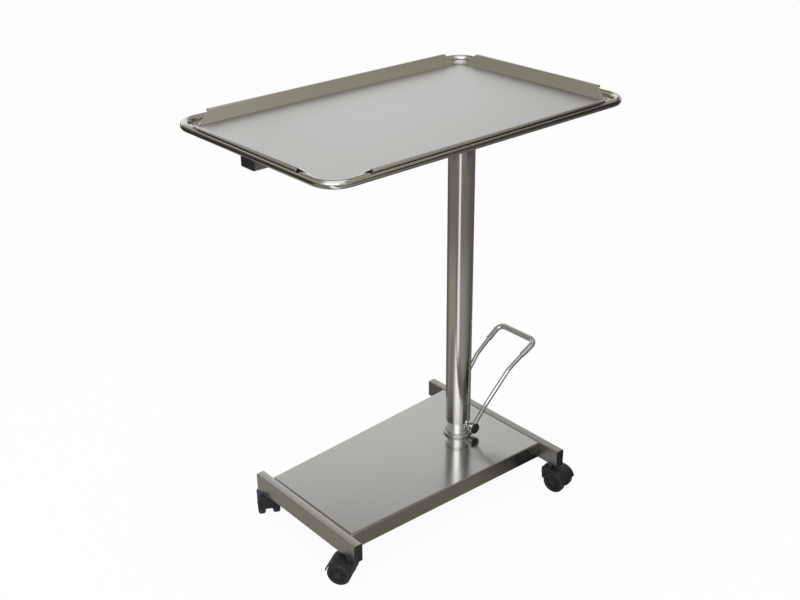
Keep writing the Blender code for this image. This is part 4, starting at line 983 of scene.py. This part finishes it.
def pedal():
    """Hubs, caps, the two bent legs and the crossbar that the foot presses."""
    ring = pipe(SHAFT_RADIUS + CLEAR, HUB_RADIUS, HUB_START, HUB_END, EASE["hub"])
    cap = cap_profile()
    for side, word in SIDES:
        outward = standing(PIVOT, side * Y_AXIS)
        name = "pedal_hub_" + word
        show(name + "_ring", turned(ring, FACETS["hub"], outward), pedal_chrome, "pedal", [name])
        name = "pedal_cap_" + word
        show(name + "_dome", turned(cap, FACETS["cap"], outward), black_plug, "pedal", [name])
        start, bow, knee, foot, corner = pedal_route(side)
        lap = foot + (corner - foot).normalized() * TREAD_LAP
        route = filleted([start, bow, knee, foot, lap], [LEG_BOW, LEG_BEND, LEG_BOW], LEG_STEPS)
        name = "pedal_leg_" + word
        mesh = bent_tube.run(route_mesh(route), Radius=LEG_RADIUS, Sides=FACETS["leg"],
                             Material=pedal_chrome)
        show(name + "_rod", mesh, pedal_chrome, "pedal", [name])
        run = (bow - start).normalized()
        across = run.orthogonal().normalized()
        rim = hoop(start + run * LEG_WELD_UP, across, run.cross(across), LEG_RADIUS + LEG_WELD_OUT,
                   HOOP["leg"])
        bead("leg_weld_" + word, rim, "pedal", WELD["leg"], True)
    left, right = pedal_route(1), pedal_route(-1)
    bar = filleted([left[3], left[4], right[4], right[3]], [TREAD_BEND] * 2, TREAD_STEPS)
    first, last = [(inner - outer).normalized() * TREAD_LIP
                   for inner, outer in ((bar[1], bar[0]), (bar[-2], bar[-1]))]
    bar = [bar[0], bar[0] + first * LIP_MIDDLE, bar[0] + first] + bar[1:-1] + [
        bar[-1] + last, bar[-1] + last * LIP_MIDDLE, bar[-1]]
    girths = LIP_GIRTHS + [1.0] * (len(bar) - 2 * len(LIP_GIRTHS)) + LIP_GIRTHS[::-1]
    mesh = bent_tube.run(route_mesh(bar, False, girths), Radius=TREAD_RADIUS, Sides=FACETS["tread"],
                         Material=tread_chrome)
    show("pedal_tread_tube", mesh, tread_chrome, "pedal", ["pedal_tread"])


def kept_nodes():
    """Finishes for the CAD pieces that stay as they are."""
    kept = {"base_channel": zinc, "gland_bush": bronze, "ram_piston": ground_steel,
            "piston_seal": seal_rubber, "ram_rod": ground_steel, "sleeve_guide": guide_plastic,
            "head_plug": neck_steel, "pump_finger": ground_steel, "pump_plunger": ground_steel,
            "pedal_shaft": ground_steel}
    kept.update({"column_screw_%d" % number: zinc for number in range(1, 5)})
    kept.update({"castor_axle_" + corner: zinc for corner in CASTOR_HEADINGS})
    for name, material in kept.items():
        node = frame["nodes"][name]
        node.data.materials.clear()
        node.data.materials.append(material)


base_plate()
beams()
castors()
column()
shaft_bushes()
carrier()
tray_pan()
pedal()
kept_nodes()


# Studio

def camera():
    """The camera that took the photograph."""
    flat = math.cos(PITCH)
    ahead = Vector((math.cos(YAW) * flat, math.sin(YAW) * flat, -math.sin(PITCH)))
    level = Vector((math.sin(YAW), -math.cos(YAW), 0.0))
    right = level * math.cos(ROLL) + level.cross(ahead) * math.sin(ROLL)
    lens = bpy.data.cameras.new("camera")
    lens.lens, lens.sensor_width = LENS, SENSOR
    eye = placed("camera", lens)
    turn = Matrix((right, right.cross(ahead), -ahead)).transposed()
    eye.matrix_world = Matrix.Translation(EYE) @ turn.to_4x4()
    bpy.context.scene.camera = eye


def lamp(name, at, towards, size, power):
    """A soft rectangular lamp."""
    light = bpy.data.lights.new(name, "AREA")
    light.shape, light.size, light.size_y = "RECTANGLE", size[0], size[1]
    light.energy = power
    holder = placed(name, light)
    holder.location = at
    holder.visible_glossy = False
    holder.rotation_euler = (Vector(towards) - Vector(at)).to_track_quat("-Z", "Y").to_euler()


class Lit(Surface):
    """A stage material of one Emission, seen in reflections alone."""

    def __init__(self, name):
        super().__init__(name)
        self.place = self.node("ShaderNodeTexCoord", None, None, 3)
        self.material.cycles.emission_sampling = "NONE"

    def glow(self, colour):
        return self.end(self.node("ShaderNodeEmission", None, {0: colour}))


def lobe(graph, x, y, heading, core, fade):
    """1 within core degrees of a heading in plan, falling to 0 at fade degrees."""
    angle, least = math.radians(heading), 1e-6
    flat = (x * x + y * y) ** 0.5
    facing = (x * math.cos(angle) + y * math.sin(angle)) / flat.top(least)
    return graph.step(facing, math.cos(math.radians(fade)), math.cos(math.radians(core)))


def reflected_only(name, bm, material):
    """A stage card that only glossy rays meet."""
    card = placed(name, plain_mesh(bm))
    card.data.materials.append(material)
    card.visible_camera = card.visible_diffuse = card.visible_shadow = card.visible_transmission = False


def room():
    """The studio's walls as the steel sees them: pale behind the table, olive beside it, a window."""
    graph = Lit("studio_walls")
    x, y, z = graph.axes(graph.node("ShaderNodeVectorMath", {"operation": "NORMALIZE"}, {0: graph.place}))
    ceiling = (1.00, (0.46, 0.44, 0.38))
    back = graph.ramp(z, [
        (0.00, (1.00, 1.01, 1.03)), (0.24, (1.06, 1.08, 1.11)), (0.36, (1.02, 1.03, 1.04)),
        (0.50, (0.90, 0.90, 0.89)), (0.60, (0.75, 0.745, 0.71)), (0.69, (0.29, 0.275, 0.21)),
        (0.82, (0.21, 0.195, 0.15)), ceiling])
    right = graph.ramp(z, [
        (0.00, (0.045, 0.043, 0.04)), (0.20, (0.05, 0.048, 0.042)), (0.27, (0.46, 0.44, 0.36)),
        (0.45, (0.54, 0.52, 0.44)), (0.49, (0.50, 0.48, 0.40)), (0.52, (0.24, 0.23, 0.20)),
        (0.57, (0.24, 0.23, 0.20)), (0.61, (0.44, 0.415, 0.32)), (0.72, (0.37, 0.342, 0.245)), ceiling])
    left = graph.ramp(z, [
        (0.00, (0.09, 0.084, 0.066)), (0.30, (0.12, 0.112, 0.088)), (0.44, (0.38, 0.36, 0.29)),
        (0.49, (0.40, 0.38, 0.31)), (0.52, (0.62, 0.60, 0.53)), (0.57, (0.62, 0.60, 0.53)),
        (0.61, (0.30, 0.28, 0.21)), (0.64, (0.26, 0.242, 0.175)), (0.78, (0.38, 0.352, 0.255)), ceiling])
    front = graph.ramp(z, [
        (0.00, (0.62, 0.61, 0.58)), (0.25, (0.70, 0.69, 0.66)), (0.45, (0.30, 0.29, 0.26))])
    dark = lobe(graph, x, y, 350.0, 30.0, 50.0) * graph.step(z, 0.62, 0.42)
    wall = graph.mix(lobe(graph, x, y, 315.0, 40.0, 85.0), left, right)
    wall = graph.mix(dark, wall, (0.04, 0.038, 0.034))
    wall = graph.mix(lobe(graph, x, y, 229.0, 20.0, 70.0), wall, front)
    edge = lobe(graph, x, y, 93.0, 40.0, 72.0)
    edge = edge + (1.0 - edge) * graph.step(z, 0.44, 0.34, 0.0, 0.65)
    wall = graph.mix(lobe(graph, x, y, 49.0, 34.0, 66.0) * edge, wall, back)
    above = lobe(graph, x, y, 225.0, 40.0, 58.0) * graph.step(z, 0.50, 0.60)
    wall = graph.mix(above.top(graph.step(z, 0.93, 0.955)), wall, (1.2, 1.2, 1.18))
    window = lobe(graph, x, y, 219.0, 10.0, 32.0) * graph.step(z, 0.34, 0.44) * graph.step(z, 0.68, 0.60)
    wall = graph.mix(window, wall, (3.4, 3.4, 3.36))
    bm = bmesh.new()
    bmesh.ops.create_uvsphere(bm, u_segments=48, v_segments=24, radius=ROOM_RADIUS)
    reflected_only("studio_walls", bm, graph.glow(wall))


def ground():
    """The studio's dark floor as the steel sees it, with the window's glare along it and a painted shadow
    beside the table.
    """
    graph = Lit("studio_ground")
    x, y = graph.axes(graph.node("ShaderNodeMapping", None,
                                 {"Vector": graph.place, "Location": (-COLUMN_X, 0.0, 0.0)}))[:2]
    reach = (x * x + y * y) ** 0.5
    tone = graph.mix(lobe(graph, x, y, 229.0, 5.0, 97.0), (0.165, 0.16, 0.135), (0.36, 0.355, 0.32))
    tone = graph.mix(lobe(graph, x, y, 158.0, 32.0, 52.0), tone, (0.37, 0.355, 0.295))
    near = lobe(graph, x, y, 180.0, 35.0, 60.0) * graph.step(reach, 0.30, 0.75, 0.65, 0.0)
    tone = graph.mix(near, tone, (0.17, 0.16, 0.13))
    tone = graph.mix(graph.step(reach, 1.05, 1.6, 0.0, 0.6), tone, (0.14, 0.13, 0.105))
    # Painted shadow: a dark band on the floor beside the plate's right side, where the table's shadow and
    # its castors fall, which the plate's skirt reflects.
    painted_shadow_band = graph.step(y, -0.42, -0.36) * graph.step(y, -0.16, -0.21)
    # Tones of that painted shadow along the band, darkest near the rear castor.
    skirt = graph.mix(graph.step(x, -0.05, 0.18), (0.19, 0.175, 0.14), (0.012, 0.012, 0.011))
    skirt = graph.mix(graph.step(x, 0.26, 0.42), skirt, (0.085, 0.082, 0.07))
    tone = graph.mix(painted_shadow_band, tone, skirt)
    near, far = [lobe(graph, x, y, 217.0, core, fade) for core, fade in ((6.0, 15.0), (4.0, 10.0))]
    glare = (near * graph.step(reach, 0.3, 1.6, 1.0, 0.0)).top(far) * graph.step(reach, 0.44, 0.58)
    tone = graph.mix(glare, tone, (1.25, 1.25, 1.24))
    bm = bmesh.new()
    bmesh.ops.create_circle(bm, cap_ends=True, segments=64, radius=ROOM_RADIUS)
    bmesh.ops.translate(bm, verts=bm.verts, vec=Z_AXIS * GROUND_LEVEL)
    reflected_only("studio_ground", bm, graph.glow(tone))


def screens():
    """Dark screens beside the table, which the ring's lower half sees."""
    bm = bmesh.new()
    for first, last in SCREENS:
        pairs = []
        for share in shares(SCREEN_STEPS):
            angle = math.radians(first + (last - first) * share)
            x, y = COLUMN_X + SCREEN_REACH * math.cos(angle), SCREEN_REACH * math.sin(angle)
            pairs.append([bm.verts.new((x, y, z)) for z in (SCREEN_FOOT, SCREEN_TOP)])
        for before, after in zip(pairs, pairs[1:]):
            bm.faces.new((before[0], after[0], after[1], before[1]))
    reflected_only("studio_screens", bm, Lit("studio_screens").glow((0.045, 0.042, 0.036, 1.0)))


def seen_white(graph):
    """1 for the rays that show the background: straight to the camera, or by gloss or glass."""
    path = graph.node("ShaderNodeLightPath").link.node
    camera_ray, glossy, through = [Socket(graph, path.outputs[key]) for key in
                                   ("Is Camera Ray", "Is Glossy Ray", "Is Transmission Ray")]
    return camera_ray.top(glossy).top(through)


def pale_floor():
    """A pale floor that keeps the table's soft shadow."""
    graph = Surface("pale_floor")
    dull = graph.node("ShaderNodeBsdfDiffuse", None, {"Color": (0.90, 0.90, 0.90, 1.0)})
    white = graph.node("ShaderNodeEmission", None, {"Color": (1.0, 1.0, 1.0, 1.0)})
    both = graph.node("ShaderNodeMixShader", None, {0: seen_white(graph) * 0.95, 1: dull, 2: white})
    bm = bmesh.new()
    bmesh.ops.create_circle(bm, cap_ends=True, segments=64, radius=FLOOR_RADIUS)
    floor = placed("pale_floor", plain_mesh(bm))
    floor.data.materials.append(graph.end(both))


def world():
    """Even soft light, white where the camera or the steel looks past the stage."""
    made = bpy.data.worlds.new("studio")
    made.use_nodes = True
    bpy.context.scene.world = made
    graph = Graph(made.node_tree)
    sockets = {"Color": (1.0, 1.0, 1.0, 1.0), "Strength": seen_white(graph) * 0.35 + 0.65}
    graph.node("ShaderNodeOutputWorld", None,
               {"Surface": graph.node("ShaderNodeBackground", None, sockets)})


camera()
room()
ground()
screens()
pale_floor()
world()
lamp("window", (-2.6, -1.25, 2.1), (0.0, 0.0, 0.5), (0.8, 1.6), 38.0)
lamp("overhead", (0.3, 0.2, 3.4), (0.0, 0.0, 0.0), (2.4, 2.4), 30.0)
bpy.context.scene.view_settings.view_transform = "Standard"
